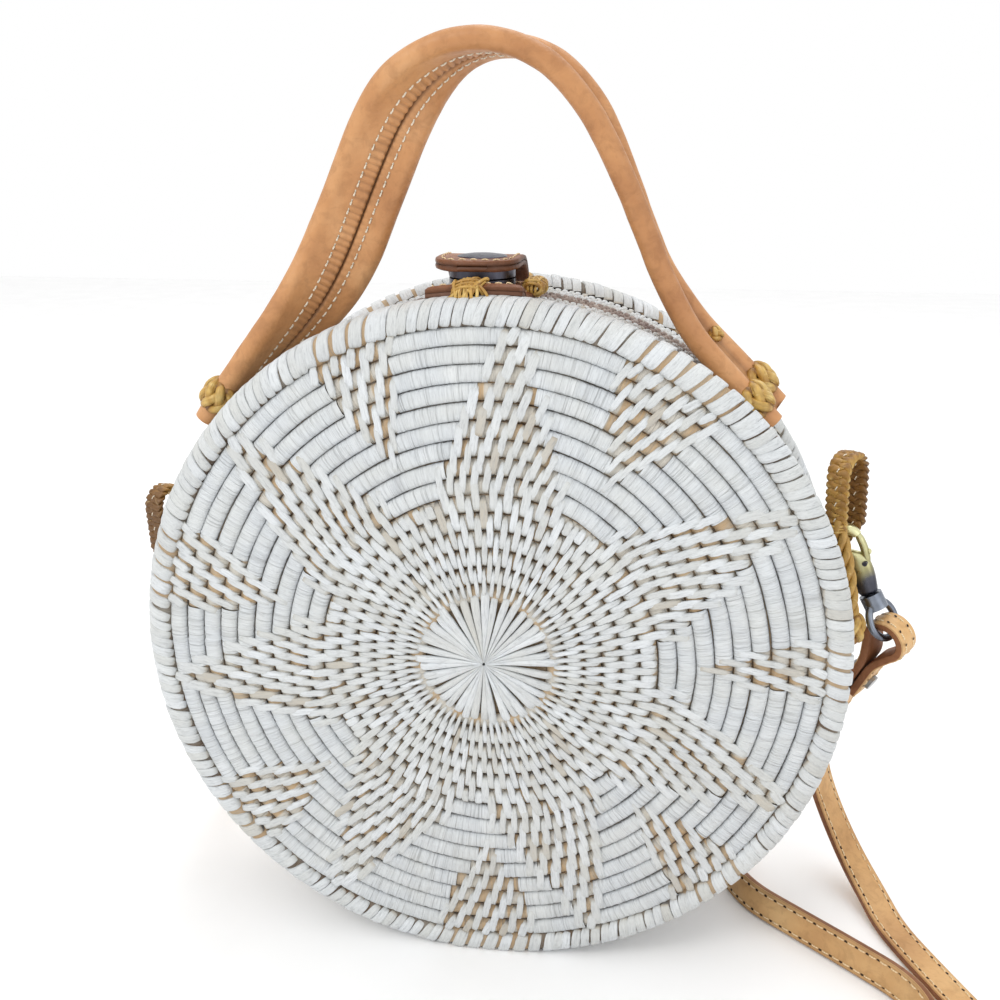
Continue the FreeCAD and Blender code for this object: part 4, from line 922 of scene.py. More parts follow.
# ------------------------------------------------------------- woven loops
def braid(soup, c, wide_dir, norm, closed, reps, spread, rise, wide, thick, seed, shade=1.0, gather=1.0):
    """Three strands plaited along c."""
    g = np.random.default_rng(seed)
    n = len(c)
    f = np.arange(n) / n if closed else np.linspace(0, 1, n)
    for k in range(3):
        ph = 2 * np.pi * (reps * f + k / 3)
        line = c + (spread * np.sin(ph) * gather)[:, None] * wide_dir + (rise * np.sin(2 * ph))[:, None] * norm
        # Each strand is painted lighter where it rises and darker where it sinks, as painted highlight and shade; shade
        # darkens parts of the braid, as painted shade.
        tint = np.clip((0.76 + 0.30 * np.sin(2 * ph) + 0.07 * g.normal(0, 1, n)) * shade, 0, 1)[:, None]
        tube(soup, line, wide * (0.3 + 0.7 * gather), tint, 8, np.broadcast_to(wide_dir, line.shape), thick / wide, closed, g.uniform(0, 99))


def build_loop(side, origin, side_dir, up_dir, tie_at, seed, r=5.9, hi=19.6):
    side_dir, up_dir = unit(vec(*side_dir)), unit(vec(*up_dir))
    out = np.cross(side_dir, up_dir)
    lo = 5.7
    a = np.linspace(0, np.pi, 30)[:-1]
    ring = np.concatenate([
        np.stack([np.full(20, -r), np.linspace(lo, hi, 21)[:-1]], -1),
        np.stack([-r * np.cos(a), hi + 5.7 * np.sin(a)], -1),
        np.stack([np.full(20, r), np.linspace(hi, lo, 21)[:-1]], -1),
        np.stack([r * np.cos(a), lo - 5.7 * np.sin(a)], -1),
    ])
    ring = np.vstack([ring, ring[:1]])
    ring, _ = even(ring, 0.36)
    ring = ring[:-1]
    c = origin + ring[:, :1] * side_dir + ring[:, 1:] * up_dir
    d = unit(np.roll(c, -1, 0) - np.roll(c, 1, 0))
    norm = np.cross(d, np.broadcast_to(out, d.shape))
    soup, pale = Soup(), Soup()
    # the far leg of the ring is painted darker, as painted shade
    braid(soup, c, out, norm, True, 10, 2.0, 0.5, 1.55, 0.62, seed, np.interp(ring[:, 0], [-r, 0, r], [1.0, 0.9, 0.3]), 1 - 0.62 * np.clip((5.0 - ring[:, 1]) / 4.0, 0, 1))
    # small pale cross stitches along the middle of the ring
    for i in range(6, len(c), 13):
        f = np.linspace(-0.5, 0.5, 5)[:, None]
        tube(pale, c[i] - norm[i] * (1.02 + 0.16 * np.cos(np.pi * f)) + f * 1.0 * d[i] + f * 0.5 * out, 0.17, 0.6, 6)
        tube(pale, c[i] + norm[i] * (1.02 + 0.16 * np.cos(np.pi * f)) + f * 1.0 * d[i] - f * 0.5 * out, 0.17, 0.6, 6)
    # the strands that run on down the wall, twisted round each other
    q = np.linspace(0, 1, 60)
    base = origin + (-r) * side_dir
    end = vec(*tie_at)
    top = base + (lo + 2.0) * up_dir
    line = top + np.outer(q, end - top)
    flat = line[:, [0, 2]] - [0, ZC]
    reach = np.linalg.norm(flat, axis=1, keepdims=True)
    line[:, [0, 2]] = [0, ZC] + flat / reach * (reach[0] + (reach[-1] - reach[0]) * q[:, None])
    # the strands are painted lighter on their outer side, as painted highlight
    for k in range(3):
        ph = 2 * np.pi * (2.2 * q + k / 3)
        tube(soup, line + np.outer(1.3 * np.cos(ph), side_dir) + np.outer(1.2 * np.sin(ph), out), 1.1, np.clip(0.62 + 0.12 * np.sin(ph), 0, 1)[:, None], 7)
    gold = Soup()
    wraps(gold, origin - r * side_dir + (lo - 0.5) * up_dir, up_dir, out, (2.6, 1.75), 3, 0.8, 0.42, 0.85, seed)
    o = soup.build("woven_loop_" + side, VINE)
    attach(o, "bag_body")
    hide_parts("strap_loop_" + side)
    for piece, name, material in ((pale, "loop_stitches_", THREAD), (gold, "loop_binding_", VINE)):
        b = piece.build(name + side, material)
        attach(b, "bag_body")
    knot = Soup()
    turks_head(knot, end, up_dir, 2.0, 3.3, 5, 1.2, 0.8, seed + 7)
    # the inner layers are painted darker, as painted shade under the outer one
    turks_head(knot, end, up_dir, 1.4, 3.3, 5, 1.2, 0.8, seed + 9, tone=0.5)
    turks_head(knot, end, up_dir, 0.75, 2.9, 4, 1.0, 0.7, seed + 8, tone=0.45)
    k = knot.build("loop_knot_" + side, VINE)
    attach(k, "bag_body")
    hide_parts("loop_tie_" + side)


build_loop("right", vec(99.702, 0.669, 127.483), (0.5446, 0.8387, 0), (-0.0361, 0.0131, 0.9993), (102.3, -8.6, 104.2), 210, 6.3)
build_loop("left", vec(-104.385, 1.036, 111.143), (-0.3420, -0.9397, 0), (-0.06, 0.022, 0.998), (-100.1, 7.5, 89.5), 230, 5.4, 17.4)


# ------------------------------------------------------------ snap closure
def plate(soup, line, half, thick, tone, mid_x=0.0):
    """A strip of doubled leather along line (n x 2, depth and height), half as
    wide as given at each point.  Its cut edges are blunt, with the line between
    the two layers showing, and it is closed at both ends."""
    d = unit(np.gradient(line, axis=0))
    nrm = np.stack([-d[:, 1], d[:, 0]], -1)
    n = len(line)
    k = np.array([-0.955, -0.99, -1, -0.985, -0.93, -0.8, -0.5, 0, 0.5, 0.8, 0.93, 0.985, 1, 0.99, 0.955])
    edge = np.array([0.0, 0.12, 0.45, 0.85, 1, 1, 1, 1, 1, 1, 1, 0.85, 0.45, 0.12, 0.0])
    dark = np.array([0.0, 0.02, 0.16, 0.26, 0.42, 0.5, 0.5, 0.5, 0.5, 0.5, 0.42, 0.26, 0.16, 0.02, 0.0])
    ends = [(0.55, 0.0, 0.0), (0.12, 0.12, 0.02), (0.0, 0.45, 0.16), (0.12, 0.85, 0.26)]
    rows = [(0, i, sc, tn) for i, sc, tn in ends] + [(j, 0.0, 1.0, 1.0) for j in range(1, n - 1)] + [(n - 1, i, sc, tn) for i, sc, tn in ends[::-1]]
    run = run_of(line)
    for sgn in (1, -1):
        p = np.zeros((len(rows), len(k), 3))
        t = np.zeros((len(rows), len(k)))
        uv = np.zeros((len(rows), len(k), 2))
        for r, (j, inset, sc, tn) in enumerate(rows):
            at = line[j] + d[j] * (inset if j == 0 else -inset if j == n - 1 else 0.0)
            h = np.broadcast_to(thick, (n,))[j] / 2 * edge * sc
            p[r, :, 0] = mid_x + half[j] * k
            p[r, :, 1] = at[0] + nrm[j, 0] * sgn * h
            p[r, :, 2] = at[1] + nrm[j, 1] * sgn * h
            t[r] = np.minimum(dark, tn) * (tone / 0.5)
            uv[r, :, 0], uv[r, :, 1] = k * half[j], run[j]
        soup.patch(p if sgn > 0 else p[:, ::-1], uv if sgn > 0 else uv[:, ::-1], t if sgn > 0 else t[:, ::-1])


def bundle(soup, centre, axis, side, half, wide, tall, seed, strands=15):
    """A short knot of fine split strands: wound round axis in several layers,
    each turn a little off the last, with two turns across it."""
    g = np.random.default_rng(seed)
    axis, side = unit(np.asarray(axis, float)), unit(np.asarray(side, float))
    up = unit(np.cross(axis, side))
    a = np.linspace(0, 2 * np.pi, 40, endpoint=False)
    for i in range(strands):
        f = (i + 0.5) / strands * 2 - 1
        belly = math.sqrt(max(0.12, 1 - 0.62 * f * f))
        lean, r = g.normal(0, 0.38), g.uniform(0.90, 1.05)
        c = centre + np.outer(np.cos(a) * wide * r * belly, side) + np.outer(np.sin(a) * tall * r * belly, up)
        c += np.outer(half * (f + lean * np.cos(a + g.uniform(0, 6.28)) + g.normal(0, 0.04)), axis)
        tube(soup, c, g.uniform(0.34, 0.46), np.clip(g.normal(0.72, 0.14) + 0.1 * np.sin(3 * a), 0, 1)[:, None], 7, None, 1.0, True, g.uniform(0, 99))
    for i in range(3):
        f = (i - 1) * 0.42
        c = centre + np.outer(np.cos(a) * half * 1.04, axis) + np.outer(np.sin(a) * tall * 1.12, up) + np.outer(wide * (f + 0.12 * np.sin(a + i)), side)
        tube(soup, c, g.uniform(0.36, 0.46), np.clip(g.normal(0.78, 0.1) + 0 * a, 0, 1)[:, None], 7, None, 1.0, True, g.uniform(0, 99))


def lathe(soup, centre, profile, tint, sides=56):
    """A round piece about an upright line, from (radius, height) pairs."""
    a = np.linspace(0, 2 * np.pi, sides, endpoint=False)
    pr = np.asarray(profile, float)
    p = np.zeros((len(pr), sides, 3))
    p[..., 0] = centre[0] + pr[:, :1] * np.cos(a)
    p[..., 1] = centre[1] + pr[:, :1] * np.sin(a)
    p[..., 2] = centre[2] + pr[:, 1:]
    soup.patch(p[:, ::-1], np.stack(np.broadcast_arrays(a[None, :] * 7, run_of(pr)[:, None]), -1), np.broadcast_to(np.asarray(tint, float)[:, None], (len(pr), sides)), ring=True)


def over_rim(y):
    """How far the patch climbs above the wall where it lies on the rim."""
    f = np.clip((-20.5 - y) / 2.8, 0, 1)
    return 2.85 * f * f * (3 - 2 * f)


def build_closure():
    # base: follows the wall's curve, with a round front edge that hangs a little
    base, bt = Soup(), Soup()
    xs = np.linspace(-18.5, 10.5, 31)
    ys = np.linspace(-26.4, 5.6, 29)
    X, Y = np.meshgrid(xs, ys, indexing="ij")
    u, v = (X + 4.0) / 14.5, (Y + 10.4) / 16.0
    # squared circle keeps rounded corners inside the outline
    X = -4.0 + 14.5 * u * np.sqrt(1 - 0.22 * v * v)
    Y = -10.4 + 16.0 * v * np.sqrt(1 - 0.22 * u * u)
    rim = np.maximum(np.abs(u), np.abs(v))
    for top in (True, False):
        rest = 97.6 + over_rim(Y)
        R = rest + np.where(rim > 0.99, 2.1, np.where(rim > 0.93, 2.6, 2.7)) if top else rest
        Z = ZC + np.sqrt(R ** 2 - X ** 2)
        P = np.stack([X, Y, Z], -1)
        t = np.where(rim > 0.99, 0.2, np.where(rim > 0.92, 0.4, 0.5))
        uv = np.stack([X, Y], -1)
        base.patch(P if not top else P[:, ::-1], uv if not top else uv[:, ::-1], t if not top else t[:, ::-1])
    edge = [np.stack([X[i, j], Y[i, j]]) for i, j in [(0, j) for j in range(29)] + [(i, 28) for i in range(31)] + [(30, 28 - j) for j in range(29)] + [(30 - i, 0) for i in range(31)]]
    e = np.array(edge)
    rise = over_rim(e[:, 1])
    low = np.stack([e[:, 0], e[:, 1], ZC + np.sqrt((97.6 + rise) ** 2 - e[:, 0] ** 2)], -1)
    high = np.stack([e[:, 0], e[:, 1], ZC + np.sqrt((99.7 + rise) ** 2 - e[:, 0] ** 2)], -1)
    mid = e + [4.0, 10.4]
    mid = [-4.0, -10.4] + mid * (1 - 0.5 / np.linalg.norm(mid, axis=1, keepdims=True))
    line = np.stack([mid[:, 0], mid[:, 1], ZC + np.sqrt((98.6 + rise) ** 2 - mid[:, 0] ** 2)], -1)
    base.patch(np.stack([low, low * 0.55 + high * 0.45, line, low * 0.42 + high * 0.58, high], 0), np.zeros(2), np.array([0.1, 0.12, 0.0, 0.16, 0.2])[:, None])
    o = base.build("closure_patch", BROWN, floor=False)
    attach(o, "bag_body")
    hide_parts("closure_base")
    inner = np.array([-4.0, -10.4]) + (e - [-4.0, -10.4]) * 0.87
    marks, _ = even(inner, 3.0)
    at = np.stack([marks[:, 0], marks[:, 1], ZC + np.sqrt((100.25 + over_rim(marks[:, 1])) ** 2 - marks[:, 0] ** 2)], -1)
    tt = unit(np.gradient(at, axis=0))
    up = unit(np.stack([at[:, 0], 0 * at[:, 0], at[:, 2] - ZC], -1))
    keep = np.abs(at[:, 1] + 9.0) ** 2 + np.abs(at[:, 0] + 4.0) ** 2 > 9.6 ** 2
    sew(bt, at[keep], up[keep], tt[keep], 2.0, 0.2, 0.8)
    o = bt.build("closure_patch_stitches", TAN_THREAD, floor=False)
    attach(o, "bag_body")
    # flap: flat over the snap, then down to its fold behind the seam
    line = rounded_line([(-21.5, 205.7), (-12.0, 205.85), (-2.0, 205.85), (3.0, 205.2), (7.0, 202.5), (9.4, 200.1), (10.9, 198.7)], 3)
    line, s = even(line, 1.0)
    f = np.clip(s / 12.5, 0, 1)
    half = 11.6 * np.sqrt(np.clip(1 - (1 - f) ** 2.6 * 0.88, 0.02, 1))
    flap, ft = Soup(), Soup()
    thick = np.interp(s, [0, s[-1] - 9.0, s[-1]], [2.9, 2.9, 1.3])
    plate(flap, line, half, thick, 0.5, mid_x=-4.9)
    o = flap.build("closure_strap", BROWN, floor=False)
    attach(o, "flap")
    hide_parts("closure_flap")
    d = unit(np.gradient(line, axis=0))
    nrm = np.stack([-d[:, 1], d[:, 0]], -1)
    up = thick / 2 - 0.01
    left = np.stack([-4.9 - (half - 1.9), line[:, 0] + up * nrm[:, 0], line[:, 1] + up * nrm[:, 1]], -1)[3:-4]
    right = left * [-1, 1, 1] + [-9.8, 0, 0]
    whole, _ = even(np.vstack([left[::-1], right]), 3.0)
    tt = unit(np.gradient(whole, axis=0))
    sew(ft, whole, np.broadcast_to(vec(0, 0, 1), whole.shape), tt, 2.0, 0.2, 0.8)
    o = ft.build("closure_strap_stitches", TAN_THREAD, floor=False)
    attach(o, "flap")
    dome = Soup()
    lathe(dome, vec(-4.0, -9.0, 207.1), [(6.8, 0.0), (6.8, 0.22), (6.6, 0.4), (6.3, 0.48), (6.05, 0.38), (5.85, 0.46), (5.2, 0.62), (4.0, 0.82), (2.4, 0.96), (0.9, 1.02), (0.15, 1.03)], [0.2, 0.3, 0.6, 0.6, 0.1, 0.5, 0.5, 0.5, 0.5, 0.5, 0.5])
    o = dome.build("snap_dome", GUNMETAL, floor=False)
    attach(o, "flap")
    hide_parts("snap_cap")
    # the flap's rear part, tied to the lid
    root = Soup()
    line = rounded_line([(13.0, 197.0), (17.5, 197.1), (22.3, 196.8)], 3)
    line, s = even(line, 0.9)
    f = np.clip((s[-1] - s) / 6.0, 0, 1)
    plate(root, line, 11.9 * np.sqrt(np.clip(1 - (1 - f) ** 2.6 * 0.7, 0.02, 1)), 1.9, 0.5, mid_x=-4.6)
    o = root.build("flap_rear_patch", BROWN, floor=False)
    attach(o, "lid")
    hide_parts("flap_root")
    ties = Soup()
    for k, x in enumerate((-12.6, 4.6)):
        turks_head(ties, vec(x, 19.4, 197.7), (0.2, 1, 0), 0.8, 2.2, 4, 0.9, 0.6, 310 + k)
        turks_head(ties, vec(x, 19.4, 197.7), (1, 0.2, 0), 0.7, 1.6, 4, 0.85, 0.55, 320 + k)
    o = ties.build("flap_rear_knots", VINE, floor=False)
    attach(o, "lid")
    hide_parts("flap_root_ties")
    k = Soup()
    bundle(k, vec(-5.3, -25.6, 200.2), (1, 0, 0.05), (0, 0.75, 0.66), 3.8, 3.4, 2.2, 330, 17)
    o = k.build("closure_knot_front", VINE, floor=False)
    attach(o, "bag_body")
    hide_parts("closure_tie_front")
    k = Soup()
    bundle(k, vec(10.6, -9.5, 199.5), (0.1, 1, 0), (1, 0, -0.12), 4.2, 2.9, 2.2, 340)
    o = k.build("closure_knot_side", VINE, floor=False)
    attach(o, "bag_body")
    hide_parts("closure_tie_side")


build_closure()


# ------------------------------------------------------------------- strap
def strap_section(w, t):
    """Outline across the strap: square cut edges and a shallow sewn groove."""
    k = np.array([(-1, 0), (-1, 0.70), (-0.978, 0.94), (-0.88, 1.0), (-0.74, 0.90), (-0.6, 1.0), (0, 1.05), (0.6, 1.0), (0.74, 0.90), (0.88, 1.0), (0.978, 0.94), (1, 0.70)])
    full = np.vstack([k, -k])
    tone = np.concatenate([[0.5, 0.5, 0.24], [0.46, 0.38, 0.5, 0.53, 0.5, 0.38, 0.46], [0.24, 0.5]])
    return full * [w / 2, t / 2], np.concatenate([tone, tone])


def cut_edges(o, rows, columns=24, back=False):
    """Gives the two cut sides of a strap, and its back where that shows, the
    darker edge leather."""
    o.data.materials.append(STRAP_EDGE)
    index = np.zeros(len(o.data.polygons), np.int32)
    band = index[:(rows - 1) * columns].reshape(rows - 1, columns)
    band[:, [0, 11, 12, 23]] = 1
    if back:
        band[:, 12:] = 1
    index[(rows - 1) * columns:] = 1
    o.data.polygons.foreach_set("material_index", index)


ROUTE = [
    (108.090, 6.481, 79.397), (104.848, 12.317, 68.243), (101.6, 20.2, 51.0),
    (102.3, 24.5, 39.3), (106.2, 26.0, 27.8), (111.1, 23.2, 17.0), (116.3, 16.0, 8.6), (120.8, 5.7, 4.1), (124.2, -6.0, 3.6),
    (132.8, -25.5, 3.6), (142.5, -46.0, 3.6), (148.5, -66.0, 3.6), (148.5, -86.0, 3.6), (139.5, -106.0, 3.6), (121.0, -122.0, 3.6),
    (94.0, -131.0, 3.6), (58.0, -134.5, 3.6), (20.0, -136.2, 3.6), (0.0, -136.9, 3.6), (-19.8, -136.0, 3.6), (-33.2, -128.6, 3.6),
    (-41.0, -115.2, 3.6), (-41.0, -99.6, 3.6), (-33.2, -86.2, 3.6), (-19.8, -78.9, 3.6), (0.0, -77.8, 3.6), (24.0, -79.0, 3.6),
    (54.0, -81.4, 3.6), (82.0, -80.6, 3.6), (101.4, -77.3, 3.6), (114.1, -68.0, 3.6), (128.2, -52.6, 3.6), (124.4, -37.2, 3.6),
    (109.2, -23.8, 3.6), (94.0, -11.0, 3.6), (80.4, 0.6, 3.6), (74.0, 17.0, 3.6), (76.3, 34.5, 3.6), (74.5, 52.9, 3.6),
    (62.4, 67.2, 3.6), (44.5, 73.0, 3.6), (25.3, 73.4, 3.6), (-4.0, 71.9, 3.6), (-34.1, 71.6, 3.6), (-54.4, 70.5, 3.6),
    (-74.7, 67.2, 3.6), (-92.7, 57.8, 4.4), (-102.6, 41.7, 13.0), (-103.9, 27.8, 28.7), (-99.857, 16.885, 46.182), (-101.416, 11.427, 57.877),
]


def nurbs_line(points, resolution=10):
    """The smooth line of a quadratic curve with these control points."""
    data = bpy.data.curves.new("strap_route", "CURVE")
    data.dimensions = "3D"
    sp = data.splines.new("NURBS")
    sp.points.add(len(points) - 1)
    for q, p in zip(sp.points, points):
        q.co = (*p, 1.0)
    sp.order_u = 3
    sp.use_endpoint_u = True
    sp.resolution_u = resolution
    o = bpy.data.objects.new("strap_route", data)
    SCENE.collection.objects.link(o)
    bpy.context.view_layer.update()
    me = bpy.data.meshes.new_from_object(o.evaluated_get(bpy.context.evaluated_depsgraph_get()))
    line = np.array([v.co for v in me.vertices], float)
    bpy.data.meshes.remove(me)
    bpy.data.objects.remove(o)
    bpy.data.curves.remove(data)
    return line


def build_strap():
    pts = np.array(ROUTE)
    pts[:, 2] = np.where(pts[:, 2] < 3.7, 1.5, pts[:, 2])
    pts[30:38, 2] += [1.0, 2.7, 3.3, 3.4, 3.4, 3.4, 2.4, 0.8]
    c, s = even(nurbs_line(pts * MM) / MM, 1.6)
    n = len(c)
    t = unit(np.gradient(c, axis=0))
    flat = np.stack([-t[:, 1], t[:, 0], 0 * s], -1)
    a0, a1 = vec(0.64085, 0.74079, 0.20133), vec(0.9615, -0.2748, 0.0)
    w0 = np.clip((112.0 - s) / 50.0, 0, 1)
    w1 = np.clip(1 - (s[-1] - s) / 80.0, 0, 1)
    w0, w1 = (w0 ** 2 * (3 - 2 * w0))[:, None], (w1 ** 2 * (3 - 2 * w1))[:, None]
    across = unit(flat)
    # the near run leans on its front edge
    near = (c[:, 0] > 60) & (c[:, 1] > -76) & (c[:, 1] < 46) & (s > 500)
    first, last = s[near][0], s[near][-1]
    tip = np.clip(np.minimum(s - first, last - s) / 40.0, 0, 1)
    tip = np.radians(76.0) * tip * tip * (3 - 2 * tip)
    across = across * np.cos(tip)[:, None] - np.outer(np.sin(tip), vec(0, 0, 1))
    across = unit(across * (1 - w0) + a0 * w0)
    across = unit(across * (1 - w1) + a1 * w1)
    across = unit(across - t * np.sum(across * t, 1, keepdims=True))
    up = np.cross(t, across)
    sec, tone = strap_section(9.4, 2.5)
    p = c[:, None, :] + sec[None, :, :1] * across[:, None, :] + sec[None, :, 1:] * up[:, None, :]
    uv = np.stack(np.broadcast_arrays(sec[None, :, 0], s[:, None]), -1)
    soup = Soup()
    # the near run is painted darker, as painted shade where it leans away from the light
    soup.patch(p, uv, tone[None, :] * (1 - 0.30 * tip / tip.max())[:, None], ring=True)
    cap(soup, p[0], 0.1)
    cap(soup, p[-1], 0.1, flip=True)
    strap = soup.build("long_strap", STRAP_LEATHER)
    cut_edges(strap, n)
    threads, holes = Soup(), Soup()
    marks = np.arange(4.0, s[-1] - 4.0, 3.6)
    at = lambda f: np.stack([np.interp(marks, s, f[:, i]) for i in range(3)], -1)
    C, A, U, T = at(c), unit(at(across)), unit(at(up)), unit(at(t))
    for b in (-3.3, 3.3):
        sew(threads, C + b * A + 1.12 * U, U, T, 2.3, 0.24, 0.55)
        # dark discs at the stitch holes, painted shade
        h = C + b * A + 1.21 * U + 1.8 * T
        for hc, ha, ht in zip(h, A, T):
            ring = np.array([hc + 0.48 * (math.cos(q) * ha + 1.2 * math.sin(q) * ht) for q in np.arange(6) * np.pi / 3])
            holes.faces(ring, [(0, 1, 2, 3), (0, 3, 4, 5)], (0.0, 0.0), 0.5)
    sewn = threads.build("strap_stitches", TAN_THREAD, floor=False)
    dark = holes.build("strap_stitch_holes", HOLE, floor=False)
    for o in (strap, sewn, dark):
        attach(o, "bag_body")
    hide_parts("shoulder_strap")


build_strap()


def build_fold(side, hole, way, across):
    """The strap's end, folded through the clip's ring and riveted."""
    way, across = unit(vec(*way)), unit(vec(*across))
    nrm = np.cross(way, across)
    a = np.linspace(math.radians(52), math.radians(308), 34)
    arc = np.stack([5.3 * np.cos(a), 5.3 * np.sin(a)], -1)
    line = np.vstack([np.stack([np.linspace(24.0, 11.0, 9), np.full(9, 1.55)], -1), [(8.5, 2.0), (5.8, 3.1)], arc, [(5.8, -3.1), (8.5, -2.0)], np.stack([np.linspace(11.0, 24.0, 9), np.full(9, -1.55)], -1)])
    line, s = even(line, 0.8)
    d = unit(np.gradient(line, axis=0))
    out = np.stack([d[:, 1], -d[:, 0]], -1)
    if (out[len(out) // 2] @ vec(-1, 0)) < 0:
        out = -out
    width = np.interp(line[:, 0], [-6, 2, 10, 24], [7.2, 7.4, 9.4, 9.4])
    thick = np.interp(line[:, 0], [-6, 6, 11], [2.3, 2.4, 2.6])
    sec, tone = strap_section(1.0, 1.0)
    u = line[:, None, :] + out[:, None, :] * (sec[None, :, 1] * thick[:, None])[..., None]
    v = sec[None, :, 0] * width[:, None]
    base = vec(*hole)
    p = base + u[..., :1] * way + u[..., 1:] * nrm + v[..., None] * across
    uv = np.stack(np.broadcast_arrays(v, s[:, None]), -1)
    soup = Soup()
    soup.patch(p, uv, tone[None, :], ring=True)
    cap(soup, p[0], 0.1)
    cap(soup, p[-1], 0.1, flip=True)
    o = soup.build("strap_fold_" + side, STRAP_LEATHER)
    cut_edges(o, len(line), back=True)
    threads, holes = Soup(), Soup()
    marks = np.arange(3.0, s[-1] - 3.0, 3.4)
    f = lambda arr: np.stack([np.interp(marks, s, arr[:, i]) for i in range(arr.shape[1])], -1)
    L, O, D = f(line), unit(f(out)), unit(f(d))
    W = np.interp(marks, s, width)
    T = np.interp(marks, s, thick)
    top = base + (L[:, :1] + O[:, :1] * (T / 2)[:, None]) * way + (L[:, 1:] + O[:, 1:] * (T / 2)[:, None]) * nrm
    o3, d3 = O[:, :1] * way + O[:, 1:] * nrm, D[:, :1] * way + D[:, 1:] * nrm
    for b in (-1, 1):
        at = top + (b * (W / 2 - 1.7))[:, None] * across
        sew(threads, at - 0.12 * o3, o3, d3, 2.2, 0.24, 0.55)
        # dark discs at the stitch holes, painted shade
        for hc, hn, hd in zip(at + 1.7 * d3 + 0.03 * o3, o3, d3):
            ring = np.array([hc + 0.40 * (math.cos(q) * across + 1.2 * math.sin(q) * hd) for q in np.arange(6) * np.pi / 3])
            holes.faces(ring, [(0, 1, 2, 3), (0, 3, 4, 5)], (0.0, 0.0), 0.5)
    st = threads.build("fold_stitches_" + side, TAN_THREAD)
    ho = holes.build("fold_stitch_holes_" + side, HOLE)
    for x in (o, st, ho):
        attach(x, "bag_body")
    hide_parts("strap_end_" + side)


build_fold("right", (114.0764, -4.2946, 99.9899), (-0.24943, 0.44897, -0.85803), (0.64085, 0.74079, 0.20133))
build_fold("left", (-104.295, 1.351, 79.468), (0.11995, 0.41983, -0.89964), (0.9615, -0.2748, 0.0))


# ------------------------------------------------- linings, lashings, metal
def build_lining(side, body, sign, y_hem):
    """Cotton glued into the half shell: a band with small puckers, a rolled
    hem at the mouth, and a disc across the back."""
    g = np.random.default_rng(70 + sign)
    th = np.linspace(-np.pi, np.pi, 260, endpoint=False)
    pucker = np.interp(th, np.linspace(-np.pi, np.pi, 90), g.normal(0, 1, 90), period=2 * np.pi)
    ys = np.linspace(y_hem, sign * 24.6, 16)
    edge = np.linspace(0, 1, 16)
    r = 91.9 - 0.28 * np.abs(pucker)[:, None] * np.sin(np.pi * edge)[None, :] ** 0.5
    r[:, 0] -= 0.55
    r[:, 1] -= 0.75
    band = ring_point(r, ys[None, :] + 0.15 * pucker[:, None], th[:, None])
    rr = np.array([91.3, 90.2, 88.0, 80.0, 65.0, 45.0, 25.0, 8.0, 0.5])
    dy = sign * (25.2 + 0 * rr)
    wav = 0.18 * np.sin(7 * th[:, None] + rr[None, :] * 0.11) * (rr[None, :] < 88)
    disc = ring_point(np.broadcast_to(rr[None, :], (260, 9)), dy[None, :] - sign * (0.35 + wav), th[:, None])
    soup = Soup()
    p = np.concatenate([band, disc], 1)
    run = np.concatenate([np.abs(ys - y_hem), abs(sign * 24.6 - y_hem) + 91.3 - rr])
    uv = np.stack(np.broadcast_arrays(th[:, None] * 90.0, run[None, :]), -1)
    soup.patch(p, uv, 0.5, loop=True)
    o = soup.build(side + "_cloth", LINING, flip=sign > 0)
    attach(o, body)
    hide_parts(side + "_lining")


build_lining("front", "bag_body", -1, 1.3)
build_lining("rear", "lid", 1, 13.2)

for side, x0 in (("left", -15.0), ("right", 15.0)):
    soup = Soup()
    g = np.random.default_rng(90 + int(x0))
    for k in (-1, 0, 1):
        a = np.linspace(0, 2 * np.pi, 48, endpoint=False)
        c = np.stack([np.full(48, x0 + 2.4 * k) + 0.12 * np.sin(2 * a), 7.25 + 3.7 * np.cos(a), 5.6 + 3.7 * np.sin(a)], -1)
        tube(soup, c, 1.08, np.clip(0.5 + 0.1 * g.normal(0, 1, (48, 1)), 0, 1), 9, None, 1.0, True, g.uniform(0, 99))
    o = soup.build("bottom_lashing_" + side, VINE, floor=False)
    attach(o, "bag_body")
    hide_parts("hinge_lashing_" + side)


def dress(node, material):
    o = bpy.data.objects[node]
    o.data.materials.clear()
    o.data.materials.append(material)


def clasp_material():
    """Antique brass, painted bright at the claw as a painted highlight and blue-black below as painted shade."""
    s = Shader("clasp_painted_light")
    s.set(Metallic=1.0)
    o = s.coords("Object")
    cloud = s.noise(160.0, 4.0, 0.55, o)
    fine = s.noise(700.0, 5.0, 0.6, o)
    # the tint attribute carries painted highlight and shade along the clip
    clasp_light_and_shade = s.math("ADD", s.attribute("tint"), s.math("MULTIPLY", s.math("SUBTRACT", cloud, 0.5), 0.5))
    c = s.ramp(clasp_light_and_shade, [(0.05, (0.035, 0.037, 0.055)), (0.30, (0.10, 0.10, 0.115)), (0.55, (0.38, 0.35, 0.18)), (0.9, (0.80, 0.78, 0.46))])
    return s.done(c, s.ramp(fine, [(0.3, 0.24), (0.7, 0.42)]), s.bump(fine, 0.12, 0.0002))


CLASP = clasp_material()


